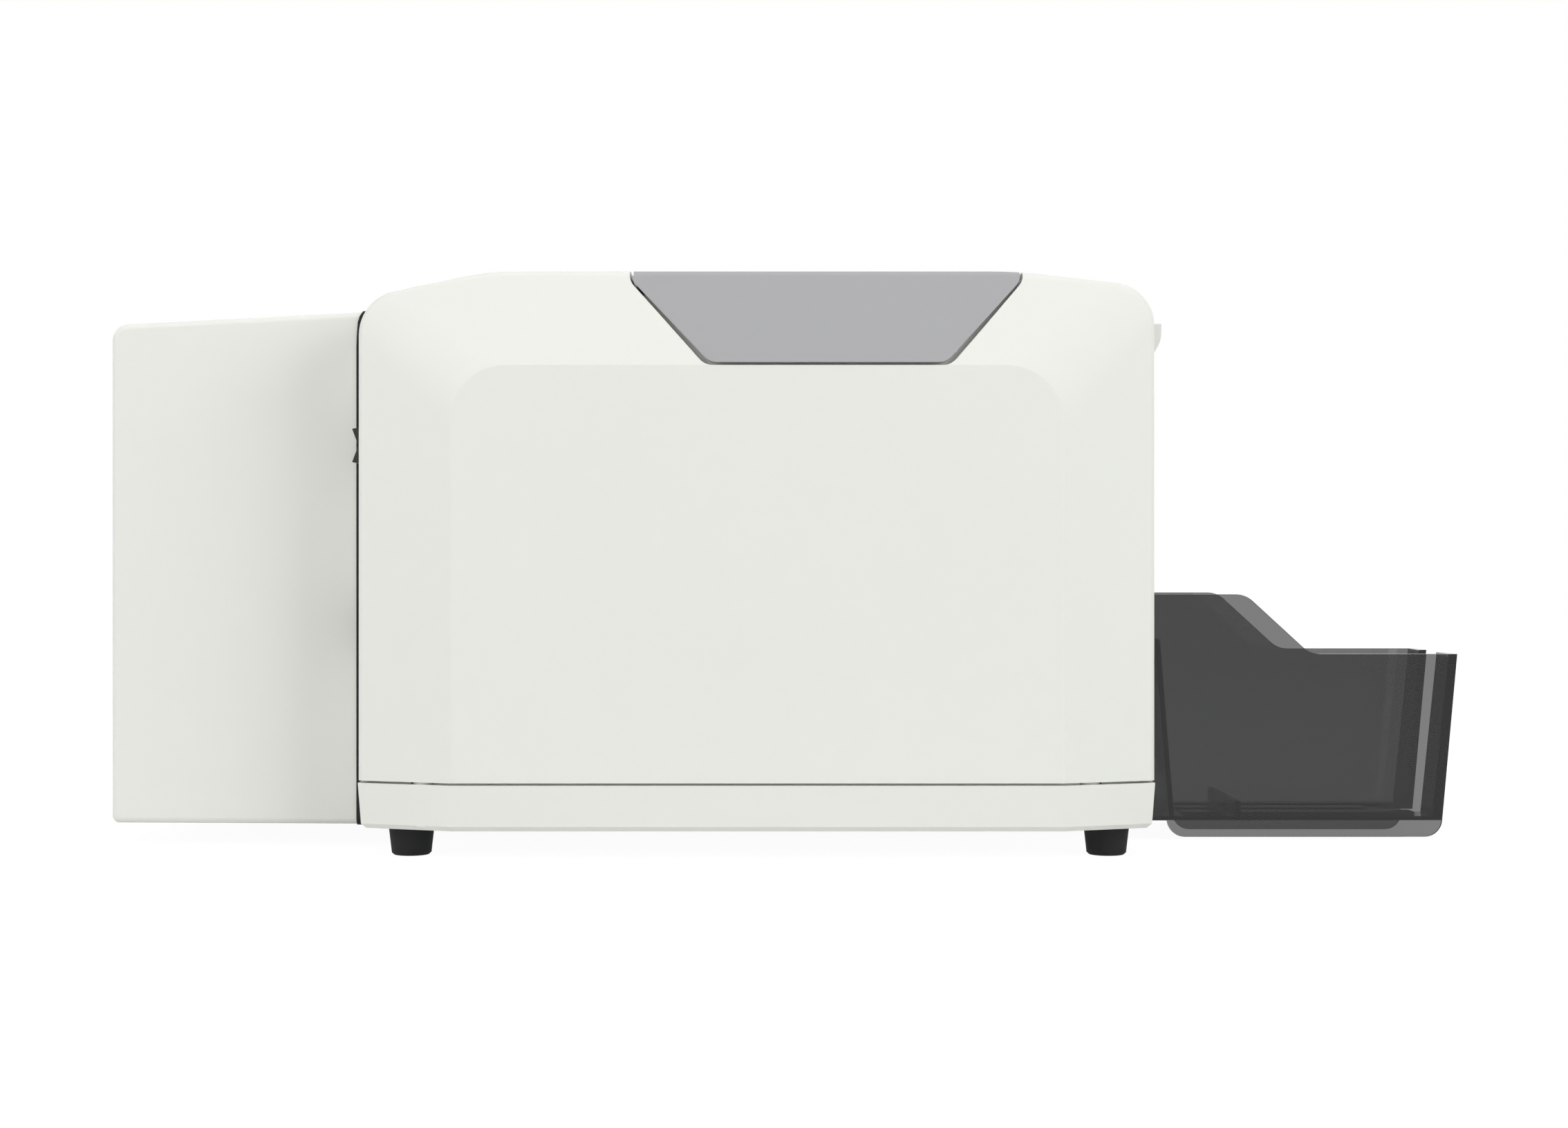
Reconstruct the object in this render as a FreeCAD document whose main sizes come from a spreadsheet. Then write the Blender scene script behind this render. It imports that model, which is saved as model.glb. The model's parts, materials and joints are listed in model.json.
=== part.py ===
import FreeCAD, Part
import math
import os
import Sketcher

# Desktop card printer with a card turning module at the rear and a card tray at the front.
# Millimetres, +Z up, +X towards the front, origin under the middle of the whole object.
# The cards lie flat, long side along X, and run along X at the height card_path.

dims = {
    # Stations along the object
    "flipper_reach": 102.5, "flipper_seam": 0.5, "body_length": 298.1, "tray_reach": 129.9,
    "body_half_width": 102.5, "edge_inset": 11.8, "body_height": 219.6,
    "foot_height": 11.1, "base_height": 17.1, "seam_gap": 0.9, "shell_wall": 2.5,
    "overrun": 5.0, "running_gap": 0.3, "seat_gap": 0.1, "shaft_fit": 0.08,
    # Silhouette of the shell and its raised flat side panel
    "rear_slope_run": 49.0, "rear_slope_drop": 10.1, "rear_top_radius": 16.8,
    "front_slope_run": 51.9, "front_slope_drop": 5.8, "front_top_radius": 16.0,
    "panel_rear_inset": 36.5, "panel_front_inset": 35.0, "panel_top_inset": 36.2,
    "panel_rear_radius": 20.0, "panel_front_radius": 22.0, "panel_kink_inset": 4.0,
    "end_opening_side": 6.5, "end_opening_floor": 7.0, "front_opening_head": 12.5,
    "rear_opening_head": 28.0, "end_opening_radius": 6.0,
    # Base pan
    "base_draft": 1.0, "base_edge": 1.8, "base_lip_height": 4.6, "base_lip_wall": 1.6,
    "post_radius": 5.0, "post_inset_x": 26.0, "post_outset_y": 2.0, "post_height": 14.0,
    "foot_inset_x": 18.0, "foot_inset_y": 25.5, "foot_top_radius": 8.7,
    "foot_bottom_radius": 7.4, "foot_edge": 0.8, "front_foot_inset_x": 16.4,
    # Lid and its hinge
    "lid_rear_x": 101.7, "lid_length": 146.9, "lid_rim": 4.0, "lid_rear_rake": 28.3,
    "lid_front_rake": 27.4, "lid_corner_radius": 6.4, "lid_gap": 0.8, "lid_slope_gap": 1.2,
    "lid_wall": 2.2, "lid_barrel_radius": 2.0, "lid_barrel_inset": 2.9, "lid_pin_radius": 1.0,
    "lid_barrel_end": 1.7,
    "lid_notch_width": 6.0, "lid_eye_width": 5.0, "lid_eye_inset": 26.7, "lid_notch_reach": 4.5,
    "bracket_drop": 7.0, "bracket_foot": 16.0, "bracket_wall": 2.4, "lid_pin_length": 16.0,
    # Front bezel, feeder door, display and buttons
    "bezel_flange_wall": 1.9, "bezel_recess": 2.0, "bezel_flange": 3.0, "door_inset": 38.2,
    "door_bottom": 119.0, "door_top_drop": 15.1, "door_wall": 2.2, "door_gap": 0.7,
    "door_barrel_radius": 2.4, "door_pin_radius": 1.2, "door_pin_length": 10.0,
    "lip_reach": 11.8, "lip_front": 6.5, "lip_depth": 28.5, "lip_inset": 1.0,
    "lip_radius": 12.0, "lip_wall": 2.0, "ear_width": 4.5, "ear_depth": 6.0,
    "exit_half_width": 31.0, "exit_height": 9.0, "exit_drop": 5.5,
    "display_width": 28.0, "display_height": 16.0, "display_inset": 16.2, "display_drop": 41.6,
    "display_rebate": 1.5, "button_radius": 4.5, "button_pitch": 15.0,
    "button_first_drop": 64.6, "button_proud": 0.8, "button_travel": 0.6,
    "button_collar": 1.2, "button_gap": 0.3, "lens_radius": 2.0, "lens_drop": 24.6,
    "key_board_wall": 1.6, "key_board_width": 32.0, "key_board_height": 80.0,
    "key_board_gap": 5.0, "key_board_post": 2.5, "switch_dome": 1.5, "switch_dome_radius": 2.5,
    "lens_flange": 1.2, "exit_radius": 3.0,
    # Output tray
    "tray_half_width": 32.0, "tray_wall": 2.0, "tray_rear_top": 97.9, "tray_front_top": 74.1,
    "tray_slope_start": 84.5, "tray_slope_end": 58.6, "tray_slope_radius": 10.0,
    "tray_foot_front": 6.6, "tray_floor_top": 9.3, "tray_floor_wall": 1.6, "tray_desk_gap": 1.2,
    "skirt_start": 14.1, "skirt_radius": 7.0, "tray_back_top": 80.0, "tray_back_run": 5.7,
    "tray_slot_half_width": 12.8, "tray_notch_reach": 4.9, "tray_front_wall": 3.1,
    "tray_rib_pitch": 17.2, "tray_rib_height": 0.8, "tray_rib_width": 9.0, "tray_stop_x": 41.5,
    "tray_rib_start": 5.3, "tray_rib_end": 7.9, "tray_middle_rib_end": 22.9,
    "tray_stop_height": 6.0, "tray_hook_gap": 0.8,
    "tray_back_x": 11.4, "tray_hook_drop": 18.0, "tray_hook_half_width": 18.0,
    "tray_tongue": 1.5, "bracket_plate": 1.5, "keeper_wall": 1.2,
    # Flipper module
    "flipper_half_width": 58.0, "flipper_taper": 4.5, "flipper_bottom": 9.0,
    "flipper_top_gap": 11.6, "flipper_top_drop": 4.6, "flipper_wall": 2.5,
    "flipper_edge": 2.5, "flipper_frame_half": 36.0, "flipper_frame_wall": 1.6,
    "flipper_frame_height": 96.0, "flipper_frame_reach": 74.0, "flipper_plate_wall": 2.0,
    "flipper_plate_low": 71.0, "flipper_plate_drop": 12.6,
    "rotor_half_length": 41.0, "rotor_half_width": 30.0, "rotor_cheek": 3.0,
    "rotor_guide_gap": 1.8, "rotor_guide_wall": 1.4, "rotor_hub_radius": 9.0,
    "rotor_shaft_radius": 3.0, "rotor_roller_radius": 6.0, "rotor_axle_radius": 1.5,
    "rotor_arm": 9.0, "flipper_tab": 8.0,
    "disc_motor_radius": 13.0, "disc_motor_depth": 7.0,
    # Chassis
    "chassis_half_width": 35.0, "chassis_wall": 1.6, "chassis_rear_inset": 8.0,
    "chassis_front_inset": 8.0, "chassis_top": 176.0, "chassis_rise": 22.0, "chassis_corner": 8.0,
    "bay_side": 16.0, "window_sill": 22.0, "window_height": 34.0, "window_side": 12.0,
    "guide_inset": 2.0,
    "chassis_window_radius": 8.0, "tie_radius": 3.0, "card_path": 108.0, "card_half_width": 27.5,
    "card_gap": 0.8, "guide_wall": 1.2, "path_clearance": 1.6,
    # Rollers and drive
    "roller_radius": 7.0, "roller_half_width": 27.0, "shaft_radius": 2.5,
    "bush_radius": 4.5, "bush_flange": 6.0, "bush_flange_wall": 1.0,
    "exit_roller_x": 106.0, "infeed_roller_x": 36.0, "platen_x": -12.0, "rear_roller_x": -76.0,
    "back_roller_x": -140.0,
    "pulley_radius": 8.0, "pulley_width": 5.0, "pulley_flange": 1.0, "belt_wall": 1.2,
    "belt_gap": 0.35, "gear_module": 1.0, "gear_width": 5.0, "platen_teeth": 30,
    "idler_teeth": 18, "pinion_teeth": 12, "mesh_play": 0.25, "gear_line_angle": 48.7, "right_angle": 90.0,
    "gear_tip_share": 0.85, "gear_root_share": 1.2, "gear_tip_width_share": 0.38,
    "gear_root_width_share": 1.0, "motor_size": 42.0, "motor_length": 30.0,
    "motor_corner": 4.0, "motor_shaft_radius": 2.5, "motor_boss_radius": 11.0,
    "motor_boss_height": 1.5, "gear_side_gap": 1.5,
    # Hopper with its card pusher
    "hopper_wall": 2.0, "hopper_rear_x": 40.0, "hopper_front_gap": 3.0, "hopper_floor": 124.0,
    "hopper_top_drop": 21.6, "hopper_half_width": 28.5, "pick_radius": 7.0, "pick_x": 70.0,
    "pick_half_width": 10.0, "pusher_wall": 3.0, "pusher_gap": 0.8, "pusher_grip": 14.0,
    "pusher_grip_length": 30.0,
    # Print head and ribbon
    "head_half_width": 28.0, "head_depth": 16.0, "head_height": 10.0, "head_gap": 1.6,
    "fin_count": 5, "web_side": 2.0,
    "fin_height": 16.0, "fin_wall": 1.2, "head_strip": 2.0,
    "spool_height": 158.0, "supply_x": -40.0, "takeup_x": 17.0, "core_radius": 8.0,
    "supply_roll_radius": 14.0, "takeup_roll_radius": 10.0, "roll_half_width": 29.0,
    "spool_flange": 1.5, "cassette_inner": 30.5, "cassette_lobe": 9.0, "cassette_bar": 6.0,
    "cassette_bridge": 2.0, "web_wall": 0.4,
    # Electrics
    "board_wall": 1.6, "board_height": 60.0, "board_length": 120.0, "board_y": 52.0,
    "board_lift": 58.0, "chip_size": 22.0, "chip_height": 6.0, "connector_count": 4,
    "connector_length": 14.0, "connector_height": 8.0, "supply_length": 100.0,
    "supply_height": 40.0, "supply_gap": 13.4, "supply_start_x": 5.0, "supply_inset": 14.5,
    "supply_wall": 1.5, "coil_size": 18.0, "fan_strut": 1.6,
    "inlet_inset": 13.7, "rocker_inset": 10.2, "inlet_low": 76.5, "inlet_high": 95.4, "inlet_width": 25.0,
    "inlet_depth": 24.0, "inlet_proud": 0.5, "inlet_wall": 1.6, "rocker_drop": 57.4,
    "rocker_height": 14.7, "rocker_width": 13.0, "rocker_proud": 4.6,
    "rocker_pivot_radius": 1.5, "switch_depth": 20.0, "switch_wall": 1.4, "rear_recess": 0.5,
    "port_inset": 9.2, "port_z": 70.0, "port_width": 16.0, "port_height": 14.0,
    "port_pitch": 22.0, "inlet_pin_inset": 6.0, "inlet_pin_pitch": 7.0, "inlet_pin_radius": 1.2,
    "rocker_pivot_depth": 5.0, "rocker_nose": 1.0, "rocker_dip": 2.4, "rocker_heel": 2.5,
    "port_depth": 18.0, "fan_size": 30.0,
    "fan_depth": 10.0, "fan_inset": 12.2, "fan_drop": 69.6, "fan_hub_radius": 8.0,
    "fan_blade_tip": 13.2, "fan_blade_wall": 1.0, "fan_blades": 7, "slot_height": 2.4,
    "slot_pitch": 5.0, "slot_count": 5, "screw_head_radius": 2.6, "screw_head_height": 1.6,
    "screw_radius": 1.4, "screw_length": 5.0, "screw_inset": 12.0,
}

# Places of the coils along the power supply, as shares of its length
coil_shares = (0.2, 0.55, 0.8)

doc = FreeCAD.newDocument("card_printer")
sheet = doc.addObject("Spreadsheet::Sheet", "Dims")
for row, (alias, value) in enumerate(dims.items(), 1):
    sheet.set(f"A{row}", alias)
    sheet.set(f"B{row}", str(value))
    sheet.setAlias(f"B{row}", alias)
doc.recompute()


class Size:
    """A length that keeps both its expression text for the sheet and its present value."""

    def __init__(self, text, value):
        self.text = text
        self.value = value

    def join(self, other, sign, value):
        text = other.text if isinstance(other, Size) else repr(other)
        return Size(f"({self.text} {sign} {text})", value)

    def __add__(self, other):
        return self.join(other, "+", self.value + number(other))

    def __sub__(self, other):
        return self.join(other, "-", self.value - number(other))

    def __mul__(self, other):
        return self.join(other, "*", self.value * number(other))

    def __truediv__(self, other):
        return self.join(other, "/", self.value / number(other))

    def __radd__(self, other):
        return size(other) + self

    def __rsub__(self, other):
        return size(other) - self

    def __rmul__(self, other):
        return size(other) * self

    def __neg__(self):
        return self * -1


def number(item):
    return item.value if isinstance(item, Size) else item


def size(item):
    return item if isinstance(item, Size) else Size(repr(item), item)


def cosine(angle):
    return Size(f"cos({angle.text} * 1 deg)", math.cos(math.radians(angle.value)))


def sine(angle):
    return Size(f"sin({angle.text} * 1 deg)", math.sin(math.radians(angle.value)))


class Sheet:
    """Gives each alias of the spreadsheet as a Size."""

    def __getattr__(self, alias):
        return Size(f"Dims.{alias}", float(sheet.get(alias)))


d = Sheet()


def bind(item, **sizes):
    for name, value in sizes.items():
        item.setExpression(name.replace("_at_", "."), size(value).text)


# Sketch planes: role of the origin plane, and the sense of the offset along its normal
planes = {"XY": ("XY_Plane", 1), "XZ": ("XZ_Plane", -1), "YZ": ("YZ_Plane", 1)}
turns = {
    "X": FreeCAD.Rotation(FreeCAD.Vector(0, 1, 0), 90),
    "Y": FreeCAD.Rotation(FreeCAD.Vector(1, 0, 0), -90),
    "Z": FreeCAD.Rotation(),
}


class Piece:
    """One sub-part: a body whose features are bound to the sheet."""

    all = []

    def __init__(self, label):
        self.label = label
        self.body = doc.addObject("PartDesign::Body", label)
        self.body.Label = label
        self.body.AllowCompound = True
        Piece.all.append(self)

    def feature(self, kind, name):
        return self.body.newObject(kind, f"{self.label}_{name}")

    def sketch(self, plane, at, loops, name="outline", centre=None, angle=None):
        role, sense = planes[plane]
        sketch = self.feature("Sketcher::SketchObject", name)
        origin = [item for item in self.body.Origin.OriginFeatures if item.Role == role][0]
        sketch.AttachmentSupport = [(origin, "")]
        sketch.MapMode = "FlatFace"
        sketch.setExpression("AttachmentOffset.Base.z", (size(at) * sense).text)
        if centre:
            bind(sketch, AttachmentOffset_at_Base_at_x=centre[0], AttachmentOffset_at_Base_at_y=centre[1])
        if angle:
            bind(sketch, AttachmentOffset_at_Rotation_at_Angle=angle)
        for corners in loops:
            drawLoop(sketch, corners)
        return sketch

    def prism(self, plane, span, *loops, cut=False):
        start, end = span
        sketch = self.sketch(plane, start, loops)
        item = self.feature("PartDesign::Pocket" if cut else "PartDesign::Pad", "prism")
        item.Profile = sketch
        item.Reversed = (plane == "XZ") != cut
        bind(item, Length=end - start)
        return item

    def loft(self, plane, first, last, cut=False):
        kind = "PartDesign::SubtractiveLoft" if cut else "PartDesign::AdditiveLoft"
        lower = self.sketch(plane, first[0], [first[1]], "section")
        upper = self.sketch(plane, last[0], [last[1]], "section")
        item = self.feature(kind, "loft")
        item.Profile = lower
        item.Sections = [(upper, [""])]
        item.Ruled = True
        return item

    def place(self, item, x, y, z, turn):
        item.Placement = FreeCAD.Placement(FreeCAD.Vector(), turn)
        bind(item, Placement_at_Base_at_x=x, Placement_at_Base_at_y=y, Placement_at_Base_at_z=z)

    def block(self, x, y, z, cut=False):
        item = self.feature("PartDesign::SubtractiveBox" if cut else "PartDesign::AdditiveBox", "block")
        bind(item, Length=x[1] - x[0], Width=y[1] - y[0], Height=z[1] - z[0])
        self.place(item, x[0], y[0], z[0], turns["Z"])
        return item

    def rod(self, axis, place, span, radius, cut=False):
        kind = "PartDesign::SubtractiveCylinder" if cut else "PartDesign::AdditiveCylinder"
        item = self.feature(kind, "rod")
        bind(item, Radius=radius, Height=span[1] - span[0])
        x, y, z = along(axis, place, span[0])
        self.place(item, x, y, z, turns[axis])
        return item

    def cone(self, place, span, lower, upper):
        item = self.feature("PartDesign::AdditiveCone", "cone")
        bind(item, Radius1=lower, Radius2=upper, Height=span[1] - span[0])
        self.place(item, place[0], place[1], span[0], turns["Z"])
        return item

    def crown(self, plane, centre, span, corners, count, angle=None):
        """Pads one tooth or blade, drawn from the centre of the wheel, and repeats it round the wheel."""
        sketch = self.sketch(plane, span[0], [corners], "tooth", centre, angle)
        tooth = self.feature("PartDesign::Pad", "tooth")
        tooth.Profile = sketch
        tooth.Reversed = plane == "XZ"
        bind(tooth, Length=span[1] - span[0])
        self.ring(sketch, tooth, count)

    def ring(self, sketch, tooth, count):
        ring = self.feature("PartDesign::PolarPattern", "crown")
        ring.Originals = [tooth]
        ring.Axis = (sketch, ["N_Axis"])
        ring.Angle = 360
        bind(ring, Occurrences=count)
        self.body.Tip = ring

    def soften(self, radius, chosen, kind="Fillet"):
        doc.recompute()
        last = [item for item in self.body.Group if item.TypeId != "Sketcher::SketchObject"][-1]
        edges = [f"Edge{index}" for index, edge in enumerate(last.Shape.Edges, 1) if chosen(edge)]
        item = self.feature(f"PartDesign::{kind}", kind.lower())
        item.Base = (last, edges)
        bind(item, **{"Radius" if kind == "Fillet" else "Size": radius})
        return item


def along(axis, place, start):
    if axis == "X":
        return start, place[0], place[1]
    if axis == "Y":
        return place[0], start, place[1]
    return place[0], place[1], start


def drawLoop(sketch, corners):
    """Draws a closed outline. A corner is (a, b) or, where it is rounded, (a, b, radius)."""
    points = [FreeCAD.Vector(number(corner[0]), number(corner[1]), 0) for corner in corners]
    radii = [corner[2] if len(corner) > 2 else None for corner in corners]
    ends = []
    for index, point in enumerate(points):
        if radii[index] is None:
            ends.append((point, point))
            continue
        before = (points[index - 1] - point).normalize()
        after = (points[(index + 1) % len(points)] - point).normalize()
        half = before.getAngle(after) / 2
        reach = number(radii[index]) / math.tan(half)
        ends.append((point + before * reach, point + after * reach))
    lines = []
    for index in range(len(points)):
        follower = (index + 1) % len(points)
        lines.append(sketch.addGeometry(Part.LineSegment(ends[index][1], ends[follower][0])))
    for index, (point, radius) in enumerate(zip(points, radii)):
        before, after = lines[index - 1], lines[index]
        if radius is None:
            sketch.addConstraint(Sketcher.Constraint("Coincident", before, 2, after, 1))
            pin(sketch, after, 1, corners[index])
            continue
        roundCorner(sketch, point, radius, before, after, ends[index], corners[index])


def roundCorner(sketch, point, radius, before, after, ends, corner):
    start, end = ends
    middle = (start + end) * 0.5
    inward = (middle - point).normalize()
    reach = (start - point).Length
    centre = point + inward * math.hypot(reach, number(radius))
    spot = centre - inward * number(radius)
    arc = sketch.addGeometry(Part.Arc(start, spot, end))
    at_start = (sketch.getPoint(arc, 1) - start).Length < (sketch.getPoint(arc, 2) - start).Length
    sketch.addConstraint(Sketcher.Constraint("Tangent", before, 2, arc, 1 if at_start else 2))
    sketch.addConstraint(Sketcher.Constraint("Tangent", after, 1, arc, 2 if at_start else 1))
    mark = sketch.addGeometry(Part.Point(point), True)
    sketch.addConstraint(Sketcher.Constraint("PointOnObject", mark, 1, before))
    sketch.addConstraint(Sketcher.Constraint("PointOnObject", mark, 1, after))
    pin(sketch, mark, 1, corner)
    index = sketch.addConstraint(Sketcher.Constraint("Radius", arc, number(radius)))
    sketch.setExpression(f"Constraints[{index}]", size(radius).text)


def pin(sketch, geometry, end, corner):
    for kind, value in (("DistanceX", corner[0]), ("DistanceY", corner[1])):
        index = sketch.addConstraint(Sketcher.Constraint(kind, -1, 1, geometry, end, number(value)))
        sketch.setExpression(f"Constraints[{index}]", size(value).text)


def rectangle(a, b, radius=None):
    corners = [(a[0], b[0]), (a[1], b[0]), (a[1], b[1]), (a[0], b[1])]
    return corners if radius is None else [(u, v, radius) for u, v in corners]


def about(middle, half):
    return middle - half, middle + half


# Main stations worked out from the driving sizes
xRearEnd = -(d.flipper_reach + d.flipper_seam + d.body_length + d.tray_reach) / 2
xRear = xRearEnd + d.flipper_reach + d.flipper_seam
xFront = xRear + d.body_length
zBase = d.foot_height + d.base_height
zShell = zBase + d.seam_gap
zTop = d.body_height
yBodyEdge = d.body_half_width - d.edge_inset
xPanelRear = xRear + d.panel_rear_inset
xPanelFront = xFront - d.panel_front_inset
zPanel = zTop - d.panel_top_inset


# Body form shared by the shell and the lid
def silhouette(inset, bottom):
    top = zTop - inset
    return [
        (xRear + inset, bottom),
        (xRear + inset, top - d.rear_slope_drop, d.rear_top_radius - inset),
        (xRear + d.rear_slope_run, top),
        (xFront - d.front_slope_run, top),
        (xFront - inset, top - d.front_slope_drop, d.front_top_radius - inset),
        (xFront - inset, bottom),
    ]


def sidePanel(bottom):
    rearKink = xPanelRear + d.panel_rear_radius + d.panel_kink_inset
    frontKink = xPanelFront - d.panel_front_radius - d.panel_kink_inset
    return [
        (xPanelRear, bottom),
        (xPanelRear, zPanel, d.panel_rear_radius),
        (rearKink, zPanel),
        (frontKink, zPanel),
        (xPanelFront, zPanel, d.panel_front_radius),
        (xPanelFront, bottom),
    ]


def bodyForm(piece, inset, bottom, cut=False):
    edge = yBodyEdge - inset
    panel = d.body_half_width - inset
    piece.prism("XZ", (-edge, edge), silhouette(inset, bottom), cut=cut)
    for side in (-1, 1):
        piece.loft("XZ", (edge * side, silhouette(inset, bottom)), (panel * side, sidePanel(bottom)), cut=cut)


def lidOutline(gap, slopeGap, top):
    rear = xRear + d.lid_rear_x
    front = rear + d.lid_length
    rim = zTop - d.lid_rim
    return [
        (rear + gap, top),
        (rear + gap, rim),
        (rear + d.lid_rear_rake + slopeGap, zPanel + gap, d.lid_corner_radius),
        (front - d.lid_front_rake - slopeGap, zPanel + gap, d.lid_corner_radius),
        (front - gap, rim),
        (front - gap, top),
    ]


# Upper casing
shell = Piece("body_shell")
bodyForm(shell, size(0), zShell)
bodyForm(shell, d.shell_wall, zShell - d.overrun, cut=True)
yAcross = about(size(0), d.body_half_width + d.overrun)
shell.prism("XZ", yAcross, lidOutline(size(0), size(0), zTop + d.overrun), cut=True)
yOpening = yBodyEdge - d.end_opening_side
zOpening = zShell + d.end_opening_floor
zFrontHead = zTop - d.front_opening_head
zRearHead = zTop - d.rear_opening_head
frontMouth = rectangle((-yOpening, yOpening), (zOpening, zFrontHead), d.end_opening_radius)
rearMouth = rectangle((-yOpening, yOpening), (zOpening, zRearHead), d.end_opening_radius)
shell.prism("YZ", (xFront - d.shell_wall - d.overrun, xFront + d.overrun), frontMouth, cut=True)
shell.prism("YZ", (xRear - d.overrun, xRear + d.shell_wall + d.overrun), rearMouth, cut=True)


# Base pan: tapered tub with an inner lip that locates the casing, posts and foot seats
def planOutline(inset):
    edge = yBodyEdge - inset
    panel = d.body_half_width - inset
    return [
        (xRear + inset, -edge), (xPanelRear, -panel), (xPanelFront, -panel), (xFront - inset, -edge),
        (xFront - inset, edge), (xPanelFront, panel), (xPanelRear, panel), (xRear + inset, edge),
    ]


def postPlaces():
    xPosts = (xRear + d.post_inset_x, xFront - d.post_inset_x)
    yPost = yBodyEdge + d.post_outset_y
    return [(x, y) for x in xPosts for y in (-yPost, yPost)]


zFloor = d.foot_height + d.shell_wall
lipInset = d.shell_wall + d.running_gap
zLipTop = zBase + d.base_lip_height
base = Piece("base_pan")
zBevel = d.foot_height + d.base_edge
base.loft("XY", (d.foot_height, planOutline(d.base_draft + d.base_edge)), (zBevel, planOutline(d.base_draft)))
base.loft("XY", (zBevel, planOutline(d.base_draft)), (zBase, planOutline(size(0))))
base.prism("XY", (zFloor, zBase + d.overrun), planOutline(d.shell_wall + d.base_draft), cut=True)
base.loft("XY", (zBase - d.base_lip_height, planOutline(d.shell_wall)), (zBase, planOutline(lipInset)))
base.prism("XY", (zBase, zLipTop), planOutline(lipInset))
base.prism("XY", (zFloor, zLipTop + d.overrun), planOutline(lipInset + d.base_lip_wall), cut=True)
for place in postPlaces():
    base.rod("Z", place, (zBase, zLipTop + d.overrun), d.post_radius + d.door_gap, cut=True)
    base.rod("Z", place, (zFloor - d.shell_wall / 2, zShell - d.seat_gap), d.post_radius)

# Casing posts that stand on the posts of the base
for place in postPlaces():
    shell.rod("Z", place, (zShell, zShell + d.post_height), d.post_radius)


# Four tapered rubber feet
def footPlaces():
    xFeet = (xRear + d.foot_inset_x, xFront - d.front_foot_inset_x)
    yFoot = d.body_half_width - d.foot_inset_y
    return [(x, y) for x in xFeet for y in (-yFoot, yFoot)]


feet = Piece("rubber_feet")
for place in footPlaces():
    feet.cone(place, (size(0), d.foot_height), d.foot_bottom_radius, d.foot_top_radius)
feet.soften(d.foot_edge, lambda edge: edge.BoundBox.ZMax < 0.01, "Chamfer")

# Lid: top plate with two flaps in the slanted side faces, and a hinge barrel at its rear edge
xLidRear = xRear + d.lid_rear_x
xLidFront = xLidRear + d.lid_length
xLidPivot = xLidRear + d.lid_barrel_inset
zLidPivot = zTop - d.seat_gap - d.lid_barrel_radius
yEye = yBodyEdge - d.lid_eye_inset
lid = Piece("top_lid")
zLidForm = zPanel - d.panel_front_radius - d.panel_rear_radius
bodyForm(lid, size(0), zLidForm)
xCuts = (xRear - d.overrun, xFront + d.overrun)
zCuts = (zLidForm - d.overrun, zTop + d.overrun)
surround = [(xCuts[0], zCuts[1]), (xCuts[0], zCuts[0]), (xCuts[1], zCuts[0]), (xCuts[1], zCuts[1])]
lidEdge = lidOutline(d.lid_gap, d.lid_slope_gap, zCuts[1])
lid.prism("XZ", yAcross, surround + lidEdge[::-1], cut=True)
yEdge, yPanel = yBodyEdge - d.lid_wall, d.body_half_width - d.lid_wall
zUnder = zTop - d.lid_wall
lidInside = [
    (-yPanel, zCuts[0]), (-yPanel, zPanel), (-yEdge, zUnder),
    (yEdge, zUnder), (yPanel, zPanel), (yPanel, zCuts[0])]
lid.prism("YZ", xCuts, lidInside, cut=True)
zRelief = (zLidPivot - d.lid_barrel_radius / 2, zCuts[1])
lid.block((xLidRear - d.overrun, xLidPivot), yAcross, zRelief, cut=True)
lid.rod("Y", (xLidPivot, zLidPivot), about(size(0), yBodyEdge - d.lid_barrel_end), d.lid_barrel_radius)
for side in (-1, 1):
    eye = about(yEye * side, d.lid_notch_width / 2)
    notchX = (xLidRear - d.overrun, xLidPivot + d.lid_notch_reach)
    lid.block(notchX, eye, (zLidPivot - d.overrun, zCuts[1]), cut=True)
    pinSpan = about(yEye * side, d.lid_pin_length / 2)
    lid.rod("Y", (xLidPivot, zLidPivot), pinSpan, d.lid_pin_radius + d.shaft_fit, cut=True)

# Hinge ears moulded under the casing top, each with an eye that reaches into a notch of the lid
zArmLow = zLidPivot - d.bracket_drop
for side in (-1, 1):
    eye = about(yEye * side, d.lid_eye_width / 2)
    xArm = about(xLidPivot, d.lid_barrel_radius)
    shell.block(xArm, eye, (zArmLow, zLidPivot))
    xEar = xArm[0] - d.bracket_foot
    shell.block((xEar, xArm[0]), eye, (zArmLow, zArmLow + d.bracket_wall))
    shell.block((xEar, xEar + d.bracket_foot / 2), eye, (zArmLow, zTop - d.shell_wall / 2))
    shell.rod("Y", (xLidPivot, zLidPivot), eye, d.lid_barrel_radius)
    shell.rod("Y", (xLidPivot, zLidPivot), eye, d.lid_pin_radius + d.shaft_fit, cut=True)

# Front bezel: a plate that fills the front opening, with windows for the door and the cards
xBezelFace = xFront - d.bezel_recess
xBezelBack = xFront - d.shell_wall - d.seat_gap - d.bezel_flange_wall
ySlip = yOpening - d.running_gap
zBezel = (zOpening + d.running_gap, zFrontHead - d.running_gap)
xDoorPivot = xBezelFace - d.door_barrel_radius
zDoorPivot = d.door_bottom + d.door_barrel_radius
bezel = Piece("front_bezel")
bezel.prism("YZ", (xBezelBack, xBezelFace), rectangle((-ySlip, ySlip), zBezel, d.end_opening_radius))
flangeSpan = (-ySlip - d.bezel_flange, ySlip + d.bezel_flange)
zBezelFlange = (zOpening - d.bezel_flange, zTop - d.front_slope_drop - d.front_top_radius)
bezel.block((xBezelBack, xBezelBack + d.bezel_flange_wall), flangeSpan, zBezelFlange)
yDoorHalf = yOpening - d.door_inset
yDoor = yDoorHalf + d.door_gap
zDoorTop = zTop - d.door_top_drop
windowX = (xBezelBack - d.overrun, xBezelFace + d.overrun)
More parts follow.
